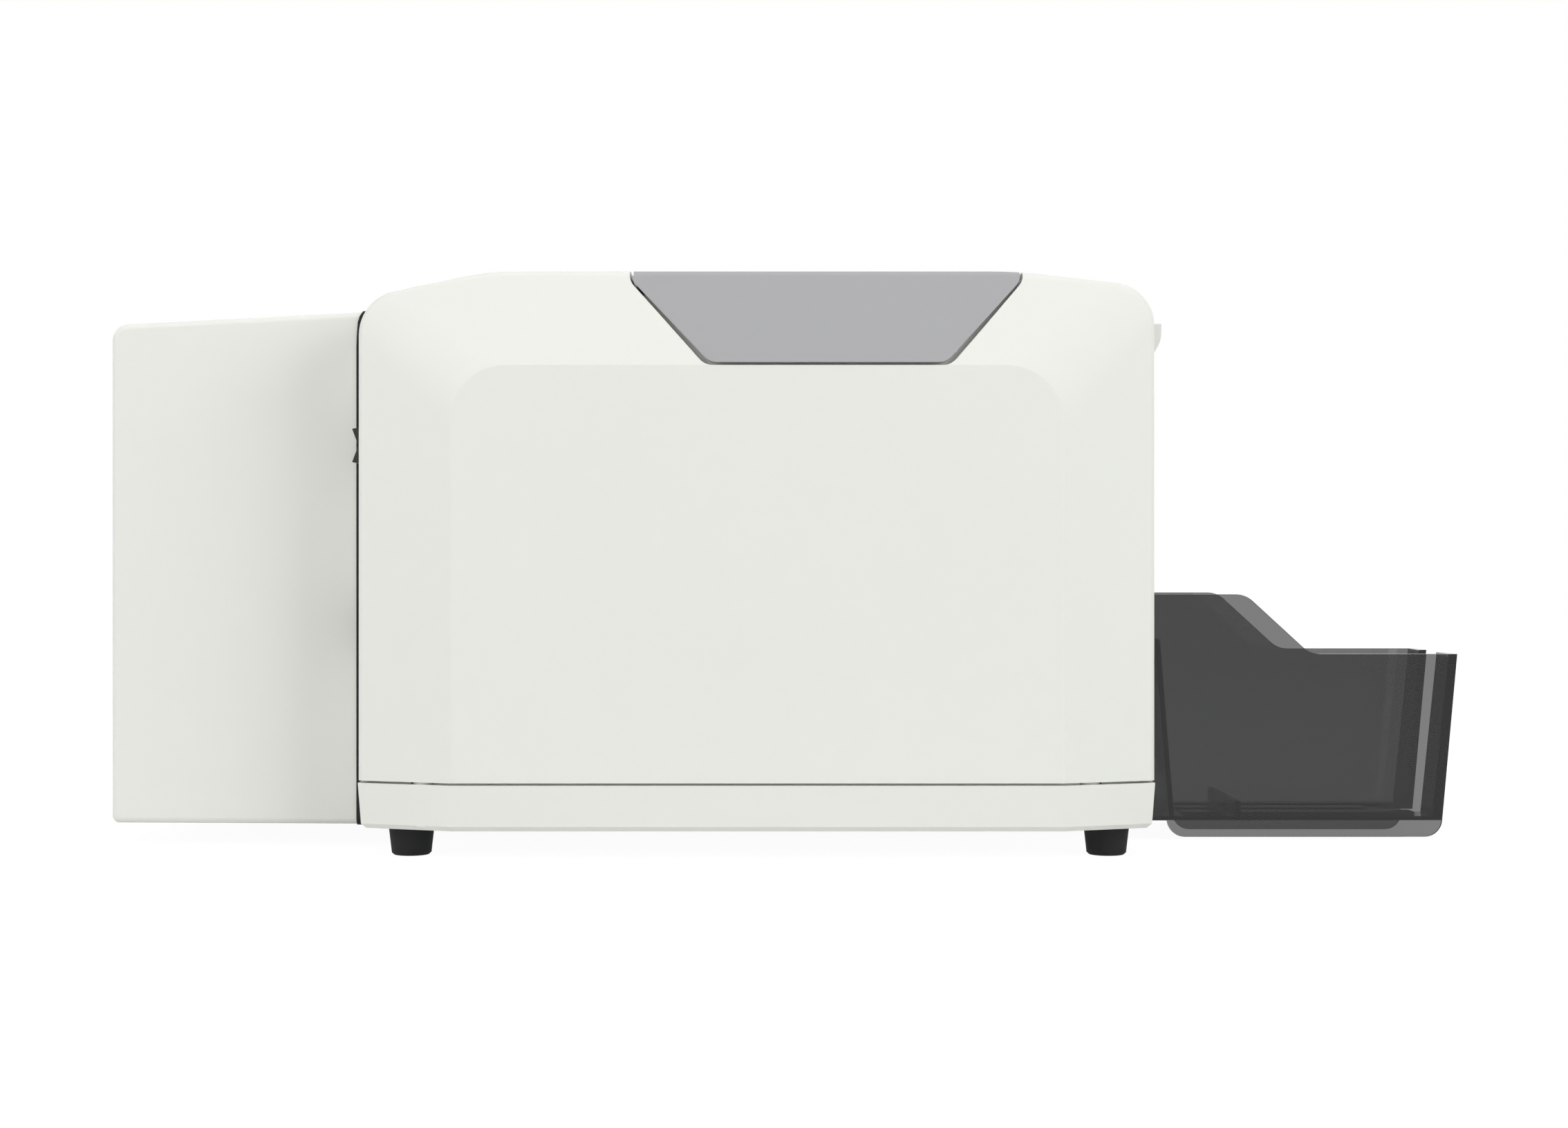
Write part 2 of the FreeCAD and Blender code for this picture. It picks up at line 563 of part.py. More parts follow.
bezel.block(windowX, (-yDoor, yDoor), (d.door_bottom - d.door_gap, zDoorTop + d.door_gap), cut=True)
zExit = (d.card_path - d.exit_drop, d.card_path - d.exit_drop + d.exit_height)
exitMouth = rectangle(about(size(0), d.exit_half_width), zExit, d.exit_radius)
bezel.prism("YZ", windowX, exitMouth, cut=True)
for side in (-1, 1):
    ear = about(side * (yDoor + d.ear_width / 2), d.ear_width / 2)
    earZ = (d.door_bottom - d.door_gap, zDoorPivot + d.ear_depth / 2)
    bezel.block((xBezelBack - d.ear_depth, xBezelBack), ear, earZ)
    hole = about(side * (yDoor + d.ear_width / 2), d.ear_width)
    bezel.rod("Y", (xDoorPivot, zDoorPivot), hole, d.door_pin_radius + d.shaft_fit, cut=True)
yKeys = d.display_inset - yOpening
zDisplay = zTop - d.display_drop
zLens = zTop - d.lens_drop
xPocket = xBezelFace - d.display_rebate
yGlass = about(yKeys, d.display_width / 2)
zGlass = about(zDisplay, d.display_height / 2)
bezel.block((xPocket, xBezelFace + d.overrun), yGlass, zGlass, cut=True)
ySight = about(yKeys, d.display_width / 2 - d.display_rebate)
zSight = about(zDisplay, d.display_height / 2 - d.display_rebate)
bezel.block(windowX, ySight, zSight, cut=True)
bezel.rod("X", (yKeys, zLens), windowX, d.lens_radius + d.shaft_fit, cut=True)
zKeys = [zTop - d.button_first_drop - d.button_pitch * index for index in range(3)]
for z in zKeys:
    bezel.rod("X", (yKeys, z), windowX, d.button_radius + d.button_gap, cut=True)
zKeyBoard = (zDisplay + d.display_height - d.key_board_height, zDisplay + d.display_height)
xKeyBoard = xBezelBack - d.key_board_gap - d.key_board_wall
for z in (zKeyBoard[0] + d.key_board_post * 2, zKeyBoard[1] - d.key_board_post * 2):
    for side in (-1, 1):
        post = (yKeys + side * (d.key_board_width / 2 - d.key_board_post), z)
        bezel.rod("X", post, (xBezelBack - d.key_board_gap, xBezelBack + d.seat_gap), d.key_board_post)

# Feeder door with a hollow finger lip that swells forward at its top
door = Piece("feeder_door")
doorSpan = about(size(0), yDoorHalf)
door.block((xBezelFace - d.door_wall, xBezelFace), doorSpan, (zDoorPivot, zDoorTop))
xLip = xBezelFace + d.lip_reach
lipSpan = about(size(0), yDoorHalf - d.lip_inset)
door.prism("XZ", lipSpan, [
    (xBezelFace - d.door_wall / 2, zDoorTop), (xLip, zDoorTop),
    (xLip, zDoorTop - d.lip_front, d.lip_radius), (xBezelFace - d.door_wall / 2, zDoorTop - d.lip_depth)])
lipInside = about(size(0), yDoorHalf - d.lip_inset - d.lip_wall)
zLipInside = zDoorTop - d.lip_wall
door.prism("XZ", lipInside, [
    (xBezelFace - d.door_wall - d.overrun, zLipInside), (xLip - d.lip_wall, zLipInside),
    (xLip - d.lip_wall, zDoorTop - d.lip_front), (xBezelFace, zDoorTop - d.lip_depth + d.lip_wall * 2),
    (xBezelFace - d.door_wall - d.overrun, zDoorTop - d.lip_depth + d.lip_wall * 2)], cut=True)
door.rod("Y", (xDoorPivot, zDoorPivot), doorSpan, d.door_barrel_radius)
for side in (-1, 1):
    bore = about(side * yDoorHalf, d.door_pin_length / 2 + d.running_gap)
    door.rod("Y", (xDoorPivot, zDoorPivot), bore, d.door_pin_radius + d.shaft_fit, cut=True)

# Steel pins of the lid and of the feeder door
pins = Piece("hinge_pins")
for side in (-1, 1):
    lidPin = about(yEye * side, d.lid_pin_length / 2 - d.running_gap)
    pins.rod("Y", (xLidPivot, zLidPivot), lidPin, d.lid_pin_radius)
    doorPin = about(side * (yDoorHalf + d.door_gap / 2), d.door_pin_length / 2)
    pins.rod("Y", (xDoorPivot, zDoorPivot), doorPin, d.door_pin_radius)

# Display window, status lens, buttons and the small board behind them
glass = Piece("display_lenses")
glass.block((xPocket + d.seat_gap, xBezelFace), about(yKeys, d.display_width / 2 - d.seat_gap),
            about(zDisplay, d.display_height / 2 - d.seat_gap))
glass.rod("X", (yKeys, zLens), (xBezelBack - d.lens_flange, xBezelFace), d.lens_radius)
lensFlange = (xBezelBack - d.lens_flange, xBezelBack - d.seat_gap)
glass.rod("X", (yKeys, zLens), lensFlange, d.lens_radius + d.lens_flange)
xKeyTail = xKeyBoard + d.key_board_wall + d.switch_dome + d.button_travel + d.seat_gap
xCollar = xBezelBack - d.seat_gap
for name, z in zip(("upper_button", "middle_button", "lower_button"), zKeys):
    button = Piece(name)
    button.rod("X", (yKeys, z), (xKeyTail, xBezelFace + d.button_proud), d.button_radius)
    button.rod("X", (yKeys, z), (xCollar - d.button_collar, xCollar), d.button_radius + d.button_collar)
keyBoard = Piece("key_board")
xKeyPlate = (xKeyBoard, xKeyBoard + d.key_board_wall - d.seat_gap)
keyBoard.block(xKeyPlate, about(yKeys, d.key_board_width / 2), zKeyBoard)
for z in zKeys:
    dome = (xKeyBoard + d.key_board_wall / 2, xKeyBoard + d.key_board_wall + d.switch_dome)
    keyBoard.rod("X", (yKeys, z), dome, d.switch_dome_radius)

# Rear panel with its cut-outs, held behind the rim of the rear opening
xRearFace = xRear + d.rear_recess
xRearBack = xRear + d.shell_wall + d.seat_gap + d.bezel_flange_wall
zRearPanel = (zOpening + d.running_gap, zRearHead - d.running_gap)
rearPanel = Piece("rear_panel")
rearPanel.prism("YZ", (xRearFace, xRearBack), rectangle((-ySlip, ySlip), zRearPanel, d.end_opening_radius))
rearPanel.block((xRearBack - d.bezel_flange_wall, xRearBack), flangeSpan,
                (zOpening - d.bezel_flange, zRearHead + d.bezel_flange))
rearX = (xRearFace - d.overrun, xRearBack + d.overrun)
rearPanel.prism("YZ", rearX, exitMouth, cut=True)
yInlet, yRocker = d.inlet_inset - yOpening, d.rocker_inset - yOpening
inletY, inletZ = about(yInlet, d.inlet_width / 2), (d.inlet_low, d.inlet_high)
rearPanel.block(rearX, inletY, inletZ, cut=True)
zRocker = zTop - d.rocker_drop - d.rocker_height / 2
zRockerEnds = about(zRocker, d.rocker_height / 2)
housingZ = about(zRocker, d.rocker_height / 2 + d.switch_wall + d.button_gap)
housingY = about(yRocker, d.rocker_width / 2 + d.switch_wall + d.button_gap)
rearPanel.block(rearX, housingY, housingZ, cut=True)
portsY = about(yOpening - d.port_inset, d.port_width / 2)
yFan, zFan = yOpening - d.fan_inset, zTop - d.fan_drop
portZ = [about(d.port_z + d.port_pitch * index, d.port_height / 2) for index in range(2)]
for z in portZ:
    rearPanel.block(rearX, portsY, z, cut=True)
for index in range(dims["slot_count"]):
    middle = zFan + d.slot_pitch * (index - (d.slot_count - 1) / 2)
    slotY = about(yFan, d.fan_size / 2 - d.switch_wall)
    rearPanel.block(rearX, slotY, about(middle, d.slot_height / 2), cut=True)

# Power inlet: a socket with a hollow mouth and three pins, flange outside the rear panel
inlet = Piece("power_inlet")
mouth = d.inlet_wall + d.seat_gap
inlet.block((xRearFace - d.inlet_proud, xRearFace - d.inlet_proud + d.inlet_depth),
            about(yInlet, d.inlet_width / 2 - d.seat_gap),
            (d.inlet_low + d.seat_gap, d.inlet_high - d.seat_gap))
inlet.block((xRearFace - d.inlet_proud - d.overrun, xRearFace + d.inlet_depth - d.inlet_wall * 3),
            about(yInlet, d.inlet_width / 2 - mouth), (d.inlet_low + mouth, d.inlet_high - mouth), cut=True)
zPins = (d.inlet_low + d.inlet_pin_inset, d.inlet_high - d.inlet_pin_inset)
xPins = (xRearFace + d.inlet_pin_inset, xRearFace + d.inlet_depth - d.inlet_wall * 2)
yPins = about(yInlet, d.inlet_pin_pitch)
for spot in ((yInlet, zPins[1]), (yPins[0], zPins[0]), (yPins[1], zPins[0])):
    inlet.rod("X", spot, xPins, d.inlet_pin_radius)

# Rocker switch: housing, and the rocker with a shallow V across its face
housing = Piece("switch_housing")
housingX = (xRearFace, xRearFace + d.switch_depth)
housing.block(housingX, (housingY[0] + d.seat_gap, housingY[1] - d.seat_gap),
              (housingZ[0] + d.seat_gap, housingZ[1] - d.seat_gap))
cavityY = about(yRocker, d.rocker_width / 2 + d.button_gap)
cavityZ = about(zRocker, d.rocker_height / 2 + d.button_gap)
housing.block((xRearFace - d.overrun, xRearFace + d.switch_depth - d.switch_wall), cavityY, cavityZ, cut=True)
xRockerPivot = xRearFace + d.rocker_pivot_depth
pivotSpan = about(yRocker, d.rocker_width / 2 + d.button_gap + d.switch_wall / 2)
housing.rod("Y", (xRockerPivot, zRocker), pivotSpan, d.rocker_pivot_radius + d.shaft_fit, cut=True)
rocker = Piece("power_rocker")
xTip = xRearFace - d.rocker_proud
rocker.prism("XZ", about(yRocker, d.rocker_width / 2), [
    (xTip, zRockerEnds[0] + d.rocker_nose), (xTip + d.rocker_dip, zRocker),
    (xTip, zRockerEnds[1] - d.rocker_nose),
    (xRearFace - d.rocker_nose, zRockerEnds[1] - d.rocker_nose / 2),
    (xRockerPivot + d.rocker_heel, zRocker + d.rocker_heel),
    (xRockerPivot + d.rocker_heel, zRocker - d.rocker_heel),
    (xRearFace - d.rocker_nose, zRockerEnds[0] + d.rocker_nose / 2)])
rockerPivot = about(yRocker, d.rocker_width / 2 + d.button_gap + d.switch_wall / 3)
rocker.rod("Y", (xRockerPivot, zRocker), rockerPivot, d.rocker_pivot_radius)

# Data sockets
ports = Piece("data_ports")
for z in portZ:
    ports.block((xRearFace, xRearFace + d.port_depth), (portsY[0] + d.seat_gap, portsY[1] - d.seat_gap),
                (z[0] + d.seat_gap, z[1] - d.seat_gap))
    ports.block((xRearFace - d.overrun, xRearFace + d.port_depth / 2),
                (portsY[0] + d.inlet_wall, portsY[1] - d.inlet_wall),
                (z[0] + d.inlet_wall, z[1] - d.inlet_wall), cut=True)

# Output tray: open-topped tray with a low front, side skirts, a finger slot and floor ribs
xTrayRear = xFront + d.tray_hook_gap
xTrayFront = xFront + d.tray_reach
xTrayFoot = xTrayFront - d.tray_foot_front
xSkirt = xFront + d.skirt_start
zUnderside = d.tray_floor_top - d.tray_floor_wall
yTray = d.tray_half_width
yInside = yTray - d.tray_wall
tray = Piece("output_tray")
tray.prism("XZ", about(size(0), yTray), [
    (xTrayRear, zUnderside), (xTrayRear, d.tray_rear_top),
    (xTrayFront - d.tray_slope_start, d.tray_rear_top, d.tray_slope_radius),
    (xTrayFront - d.tray_slope_end, d.tray_front_top, d.tray_slope_radius),
    (xTrayFront, d.tray_front_top), (xTrayFoot, d.tray_desk_gap, d.skirt_radius),
    (xSkirt, d.tray_desk_gap, d.skirt_radius), (xSkirt, zUnderside)])
xBackTop = xFront + d.tray_back_x
xBackLow = xBackTop + d.tray_back_run
xFloorEnd = xTrayFoot - d.tray_front_wall
xFrontInner = xTrayFront - d.tray_front_wall
tray.prism("XZ", about(size(0), yInside), [
    (xBackLow, d.tray_floor_top), (xFloorEnd, d.tray_floor_top),
    (xFrontInner, d.tray_front_top), (xFrontInner, d.tray_rear_top + d.overrun),
    (xBackTop - d.tray_wall, d.tray_rear_top + d.overrun),
    (xBackTop - d.tray_wall, d.tray_back_top), (xBackTop, d.tray_back_top)], cut=True)
tray.prism("XZ", about(size(0), yInside), [
    (xTrayRear - d.overrun, d.tray_floor_top), (xBackLow - d.tray_wall, d.tray_floor_top),
    (xBackTop - d.tray_wall, d.tray_back_top), (xBackTop - d.tray_wall, d.tray_rear_top + d.overrun),
    (xTrayRear - d.overrun, d.tray_rear_top + d.overrun)], cut=True)
zBelow = zUnderside - d.tray_floor_wall
xNotch = xTrayFoot - d.tray_notch_reach
yFinger = about(size(0), d.tray_slot_half_width)
zUnderCut = zUnderside - d.overrun * 3
tray.block((xTrayRear - d.overrun, xTrayFront), about(size(0), yInside), (zUnderCut, zUnderside), cut=True)
tray.block((xNotch, xTrayFront + d.overrun), yFinger, (zUnderCut, d.tray_rear_top), cut=True)
tray.rod("Z", (xNotch, size(0)), (zBelow, d.tray_floor_top + d.overrun), d.tray_slot_half_width, cut=True)
xStop = xFront + d.tray_stop_x
zRib = (d.tray_floor_top - d.tray_floor_wall / 2, d.tray_floor_top + d.tray_rib_height)
for index in (-1, 0, 1):
    rib = about(d.tray_rib_pitch * index, d.tray_rib_width / 2)
    ribEnd = xTrayFoot - (d.tray_rib_end if index else d.tray_middle_rib_end)
    tray.block((xBackLow + d.tray_rib_start, xStop - d.tray_wall), rib, zRib)
    tray.block((xStop + d.tray_wall / 2, ribEnd), rib, zRib)
tray.block((xStop, xStop + d.tray_wall), about(size(0), yInside + d.tray_wall / 2),
           (d.tray_floor_top - d.tray_floor_wall / 2, d.tray_floor_top + d.tray_stop_height))

# Hook of the tray and the bracket on the bezel that carries it
xPlate = xBezelFace + d.seat_gap
xTongue = xPlate + d.bracket_plate + d.tray_hook_gap
xKeeper = xTongue + d.tray_tongue + d.tray_hook_gap
zHook = d.tray_back_top - d.tray_hook_drop
yHook = about(size(0), d.tray_hook_half_width)
tray.block((xTongue, xTongue + d.tray_tongue), yHook, (zHook, d.tray_back_top))
tray.block((xTongue, xBackTop - d.tray_wall / 2), yHook, (d.tray_back_top - d.tray_wall, d.tray_back_top))
bracket = Piece("tray_bracket")
yPlate = about(size(0), yInside - d.tray_hook_gap)
bracket.block((xPlate, xPlate + d.bracket_plate), yPlate, (zOpening + d.overrun, d.tray_back_top + d.overrun))
zLedge = zHook - d.tray_hook_gap
bracket.block((xPlate, xKeeper + d.keeper_wall), yPlate, (zLedge - d.tray_wall, zLedge))
zKeeper = (zLedge, d.tray_back_top - d.tray_wall - d.tray_hook_gap)
bracket.block((xKeeper, xKeeper + d.keeper_wall), yPlate, zKeeper)

# Flipper module: tapered cover, mounting plate, frame, turning rotor with its nip rollers and drive
xCoverOpen = xRearEnd + d.flipper_reach


def coverSection(rear, inset):
    half = d.flipper_half_width - inset - (d.flipper_taper if rear else 0)
    top = zTop - d.flipper_top_gap - inset - (d.flipper_top_drop if rear else 0)
    return rectangle((-half, half), (d.flipper_bottom + inset, top), d.flipper_edge)


cover = Piece("flipper_cover")
xCoverEdge = xRearEnd + d.flipper_edge
cover.loft("YZ", (xCoverEdge, coverSection(True, size(0))), (xCoverOpen, coverSection(False, size(0))))
cover.loft("YZ", (xRearEnd, coverSection(True, d.flipper_edge)), (xCoverEdge, coverSection(True, size(0))))
cover.loft("YZ", (xRearEnd + d.flipper_wall + d.flipper_edge, coverSection(True, d.flipper_wall)),
           (xCoverOpen + d.flipper_edge, coverSection(False, d.flipper_wall)), cut=True)

taperAtTab = d.flipper_taper * (d.flipper_tab + d.flipper_plate_wall + d.flipper_seam) / d.flipper_reach
yMount = d.flipper_half_width - d.flipper_wall - taperAtTab - d.seat_gap
xMount = (xRearFace - d.seat_gap - d.flipper_plate_wall, xRearFace - d.seat_gap)
zMount = (d.card_path - d.flipper_plate_low, zRearHead - d.flipper_plate_drop)
frame = Piece("flipper_frame")
frame.prism("YZ", xMount, rectangle(about(size(0), yMount), zMount, d.end_opening_radius))
frame.prism("YZ", (xMount[0] - d.overrun, xMount[1] + d.overrun), exitMouth, cut=True)
for side in (-1, 1):
    tab = about(side * (yMount - d.flipper_frame_wall / 2), d.flipper_frame_wall / 2)
    tabZ = (zMount[0] + d.end_opening_radius, zMount[1] - d.end_opening_radius)
    frame.block((xMount[0] - d.flipper_tab, xMount[1]), tab, tabZ)

xRotor = xRearEnd + d.flipper_reach / 2
rotorSpot = (xRotor, d.card_path)
xFrame = (xMount[0] - d.flipper_frame_reach, xMount[0] + d.flipper_plate_wall / 2)
zFrame = about(d.card_path, d.flipper_frame_height / 2)
for side in (-1, 1):
    wall = about(side * (d.flipper_frame_half + d.flipper_frame_wall / 2), d.flipper_frame_wall / 2)
    frame.prism("XZ", wall, rectangle(xFrame, zFrame, d.end_opening_radius * 2))
    bearing = about(side * d.flipper_frame_half, d.overrun)
    frame.rod("Y", rotorSpot, bearing, d.rotor_shaft_radius + d.shaft_fit, cut=True)
yBar = about(size(0), d.flipper_frame_half + d.seat_gap)
for z in (zFrame[0] + d.overrun, zFrame[1] - d.overrun):
    frame.rod("Y", (xFrame[1] - d.end_opening_radius * 3, z), yBar, d.tie_radius)

yCheek = d.rotor_half_width
rotor = Piece("flipper_rotor")
xArmEnds = about(xRotor, d.rotor_half_length)
zArm = about(d.card_path, d.rotor_arm)
for side in (-1, 1):
    cheek = about(side * (yCheek - d.rotor_cheek / 2), d.rotor_cheek / 2)
    rotor.prism("XZ", cheek, rectangle(xArmEnds, zArm, d.rotor_arm / 2))
    rotor.rod("Y", rotorSpot, cheek, d.rotor_hub_radius)
    stub = (yCheek - d.rotor_cheek / 2, d.flipper_frame_half + d.flipper_frame_wall + d.gear_side_gap)
    rotor.rod("Y", rotorSpot, stub if side > 0 else (-stub[1], -stub[0]), d.rotor_shaft_radius)
for side in (-1, 1):
    guide = about(d.card_path + side * (d.rotor_guide_gap + d.rotor_guide_wall) / 2, d.rotor_guide_wall / 2)
    for end in (-1, 1):
        xGuide = about(xRotor + end * (d.rotor_half_length + d.rotor_roller_radius + d.running_gap) / 2,
                       (d.rotor_half_length - d.rotor_roller_radius - d.running_gap) / 2)
        rotor.block(xGuide, about(size(0), yCheek - d.rotor_cheek / 2), guide)
    axle = (xRotor, d.card_path + side * (d.rotor_roller_radius + d.card_gap / 2))
    for cheekSide in (-1, 1):
        bearing = about(cheekSide * (yCheek - d.rotor_cheek / 2), d.rotor_cheek)
        rotor.rod("Y", axle, bearing, d.rotor_axle_radius + d.shaft_fit, cut=True)
for name, side in (("flipper_drive_roller", -1), ("flipper_pinch_roller", 1)):
    roller = Piece(name)
    axle = (xRotor, d.card_path + side * (d.rotor_roller_radius + d.card_gap / 2))
    roller.rod("Y", axle, about(size(0), yCheek - d.rotor_cheek - d.running_gap), d.rotor_roller_radius)
    roller.rod("Y", axle, about(size(0), yCheek - d.running_gap), d.rotor_axle_radius)


def pitchRadius(teeth):
    return d.gear_module * teeth / 2


def gearReach(first, second):
    return pitchRadius(first) + pitchRadius(second) + d.mesh_play


def gear(piece, centre, span, teeth, angle):
    """Disc with straight-sided teeth. The first tooth points along the angle from +X towards +Z."""
    radius = pitchRadius(teeth)
    foot = radius - d.gear_module * d.gear_root_share
    tip = radius + d.gear_module * d.gear_tip_share
    inner = foot - d.gear_module * d.gear_root_share / 2
    rootHalf, tipHalf = d.gear_module * d.gear_root_width_share, d.gear_module * d.gear_tip_width_share
    piece.rod("Y", centre, span, foot)
    tooth = [
        (inner, -rootHalf), (foot, -rootHalf), (tip, -tipHalf),
        (tip, tipHalf), (foot, rootHalf), (inner, rootHalf)]
    piece.crown("XZ", centre, span, tooth, teeth, angle)


# Drive of the rotor: its gear, and a flat motor with its pinion
yFrameOut = d.flipper_frame_half + d.flipper_frame_wall
yGear = (yFrameOut + d.gear_side_gap, yFrameOut + d.gear_side_gap + d.gear_width)
rotorGear = Piece("flipper_gear")
gear(rotorGear, rotorSpot, yGear, d.platen_teeth, -d.right_angle)
pinionSpot = (xRotor, d.card_path - gearReach(d.platen_teeth, d.pinion_teeth))
halfPitch = d.right_angle * 2 / d.pinion_teeth
flipperPinion = Piece("flipper_pinion")
gear(flipperPinion, pinionSpot, yGear, d.pinion_teeth, d.right_angle + halfPitch)
flipperMotor = Piece("flipper_motor")
yDisc = yGear[1] + d.seat_gap * 3
flipperMotor.rod("Y", pinionSpot, (yDisc, yDisc + d.disc_motor_depth), d.disc_motor_radius)
for side in (-1, 1):
    lug = (pinionSpot[0] + side * (d.disc_motor_radius + d.tie_radius), pinionSpot[1])
    arm = about(pinionSpot[0] + side * d.disc_motor_radius, d.tie_radius)
    flipperMotor.block(arm, (yDisc, yDisc + d.flipper_frame_wall), about(pinionSpot[1], d.tie_radius))
    flipperMotor.rod("Y", lug, (yFrameOut + d.seat_gap, yDisc + d.flipper_frame_wall), d.tie_radius)

# Chassis: two side plates with windows, roller holes and standoffs, joined by tie bars
yPlateIn, yPlateOut = d.chassis_half_width, d.chassis_half_width + d.chassis_wall
zChassis = zFloor + d.seat_gap
xChassis = (xRearBack + d.chassis_rear_inset, xBezelBack - d.chassis_front_inset)
zAxle = d.card_path - d.card_gap / 2 - d.roller_radius
platenSpot = (d.platen_x, zAxle)
rollerNames = ("exit", "infeed", "platen", "rear", "back")
rollerSpots = [
    (d.exit_roller_x, zAxle), (d.infeed_roller_x, zAxle), platenSpot,
    (d.rear_roller_x, zAxle), (d.back_roller_x, zAxle)]
pickSpot = (d.pick_x, d.hopper_floor + d.card_gap - d.pick_radius)
idlerReach = gearReach(d.platen_teeth, d.idler_teeth)
idlerSpot = (d.platen_x + cosine(d.gear_line_angle) * idlerReach, zAxle - sine(d.gear_line_angle) * idlerReach)
motorReach = idlerReach + gearReach(d.idler_teeth, d.pinion_teeth)
motorSpot = (d.platen_x + cosine(d.gear_line_angle) * motorReach, zAxle - sine(d.gear_line_angle) * motorReach)
xBay = (d.supply_x - d.bay_side, d.takeup_x + d.bay_side)
chassisOutline = [
    (xChassis[0], zChassis), (xChassis[0], d.card_path + d.chassis_rise, d.chassis_corner),
    (xBay[0] - d.bay_side, d.card_path + d.chassis_rise), (xBay[0], d.chassis_top, d.chassis_corner),
    (xBay[1], d.chassis_top, d.chassis_corner), (xBay[1] + d.bay_side / 2, d.card_path + d.chassis_rise),
    (xChassis[1], d.card_path + d.chassis_rise, d.chassis_corner), (xChassis[1], zChassis)]
zWindow = (zChassis + d.window_sill, zChassis + d.window_sill + d.window_height)
windows = [
    (xChassis[0] + d.window_side, d.platen_x - d.window_side * 2),
    (motorSpot[0] + d.motor_size / 2 + d.window_side, xChassis[1] - d.window_side)]
xBoard = (d.platen_x - d.board_length, d.platen_x)
zBoard = (zChassis + d.board_lift, zChassis + d.board_lift + d.board_height)


def boardPlaces():
    inset = d.tie_radius * 2
    rows = (zBoard[0] + inset, zBoard[1] - inset)
    return [(x, z) for x in (xBoard[0] + inset, xBoard[1] - inset) for z in rows]


for name, side in (("chassis_near", -1), ("chassis_far", 1)):
    plate = Piece(name)
    wall = about(side * (yPlateIn + d.chassis_wall / 2), d.chassis_wall / 2)
    through = about(side * yPlateIn, d.overrun)
    plate.prism("XZ", wall, chassisOutline)
    for window in windows:
        plate.prism("XZ", through, rectangle(window, zWindow, d.chassis_window_radius), cut=True)
    for spot in rollerSpots:
        plate.rod("Y", spot, through, d.bush_radius + d.shaft_fit, cut=True)
    plate.rod("Y", pickSpot, through, d.shaft_radius + d.shaft_fit, cut=True)
    if side > 0:
        plate.rod("Y", motorSpot, through, d.motor_boss_radius + d.shaft_fit, cut=True)
        plate.rod("Y", idlerSpot, (wall[0], yPlateOut + d.gear_side_gap + d.gear_width), d.shaft_radius)
    else:
        for place in boardPlaces():
            plate.rod("Y", place, (-d.board_y + d.seat_gap, -yPlateIn - d.chassis_wall / 2), d.tie_radius)

ties = Piece("tie_bars")
yTie = yPlateIn - d.seat_gap
tieInset = d.tie_radius * 3
for x, z in ((xChassis[0] + tieInset, zChassis + tieInset), (xChassis[1] - tieInset, zChassis + tieInset),
             (d.platen_x - tieInset, zChassis + tieInset), (xChassis[0] + tieInset, d.card_path + tieInset)):
    ties.rod("Y", (x, z), about(size(0), yTie), d.tie_radius)

# Card guide: a channel between the chassis plates with windows for the rollers
xGuide = (xChassis[0] + d.guide_inset, xChassis[1] - d.guide_inset)
zGuide = d.card_path - d.card_gap / 2 - d.path_clearance
guide = Piece("card_guide")
guide.block(xGuide, about(size(0), yTie), (zGuide - d.guide_wall, zGuide))
for side in (-1, 1):
    rail = about(side * (yTie + d.card_half_width) / 2, (yTie - d.card_half_width) / 2)
    guide.block(xGuide, rail, (zGuide - d.guide_wall, d.card_path + d.path_clearance))
for spot in rollerSpots:
    hole = about(spot[0], d.roller_radius + d.path_clearance)
    yHole = about(size(0), d.roller_half_width + d.card_gap)
    guide.block(hole, yHole, (zGuide - d.overrun, zGuide + d.overrun), cut=True)
    guide.rod("Y", spot, about(size(0), yTie + d.overrun), d.bush_flange + d.running_gap, cut=True)

# Bushes: flanged rings pressed into the chassis plates
bushes = Piece("shaft_bushes")
for spot in rollerSpots:
    for side in (-1, 1):
        ring = about(side * (yPlateIn + d.chassis_wall / 2), d.chassis_wall / 2)
        bushes.rod("Y", spot, ring, d.bush_radius)
        collar = about(side * (yPlateIn - d.bush_flange_wall / 2), d.bush_flange_wall / 2)
        bushes.rod("Y", spot, collar, d.bush_flange)
for spot in rollerSpots:
    bushes.rod("Y", spot, about(size(0), yPlateOut + d.overrun), d.shaft_radius + d.shaft_fit, cut=True)

# Rollers with rubber sleeves, steel shafts and belt pulleys
yPulley = (yGear[1] + d.gear_side_gap, yGear[1] + d.gear_side_gap + d.pulley_width)
for name, spot in zip(rollerNames, rollerSpots):
    shaft = Piece(f"{name}_shaft")
    shaft.rod("Y", spot, (-yPlateOut - d.gear_side_gap, yPulley[1] + d.pulley_flange), d.shaft_radius)
    shaft.rod("Y", spot, yPulley, d.pulley_radius)
    shaft.rod("Y", spot, (yPulley[1], yPulley[1] + d.pulley_flange), d.pulley_radius + d.pulley_flange)
    sleeve = Piece(f"{name}_roller")
    sleeve.rod("Y", spot, about(size(0), d.roller_half_width), d.roller_radius)
    sleeve.rod("Y", spot, about(size(0), d.roller_half_width + d.overrun), d.shaft_radius, cut=True)

# Transport belt: one loop round all the pulleys
belt = Piece("transport_belt")
beltInner = d.pulley_radius + d.belt_gap
beltEnds = (d.back_roller_x, d.exit_roller_x)


def beltLoop(radius, span, cut):
    belt.block(beltEnds, span, (zAxle - radius, zAxle + radius), cut=cut)
    for x in beltEnds:
        belt.rod("Y", (x, zAxle), span, radius, cut=cut)


yBelt = (yPulley[0] + d.seat_gap, yPulley[1] - d.seat_gap)
beltLoop(beltInner + d.belt_wall, yBelt, False)
beltLoop(beltInner, (yBelt[0] - d.overrun, yBelt[1] + d.overrun), True)

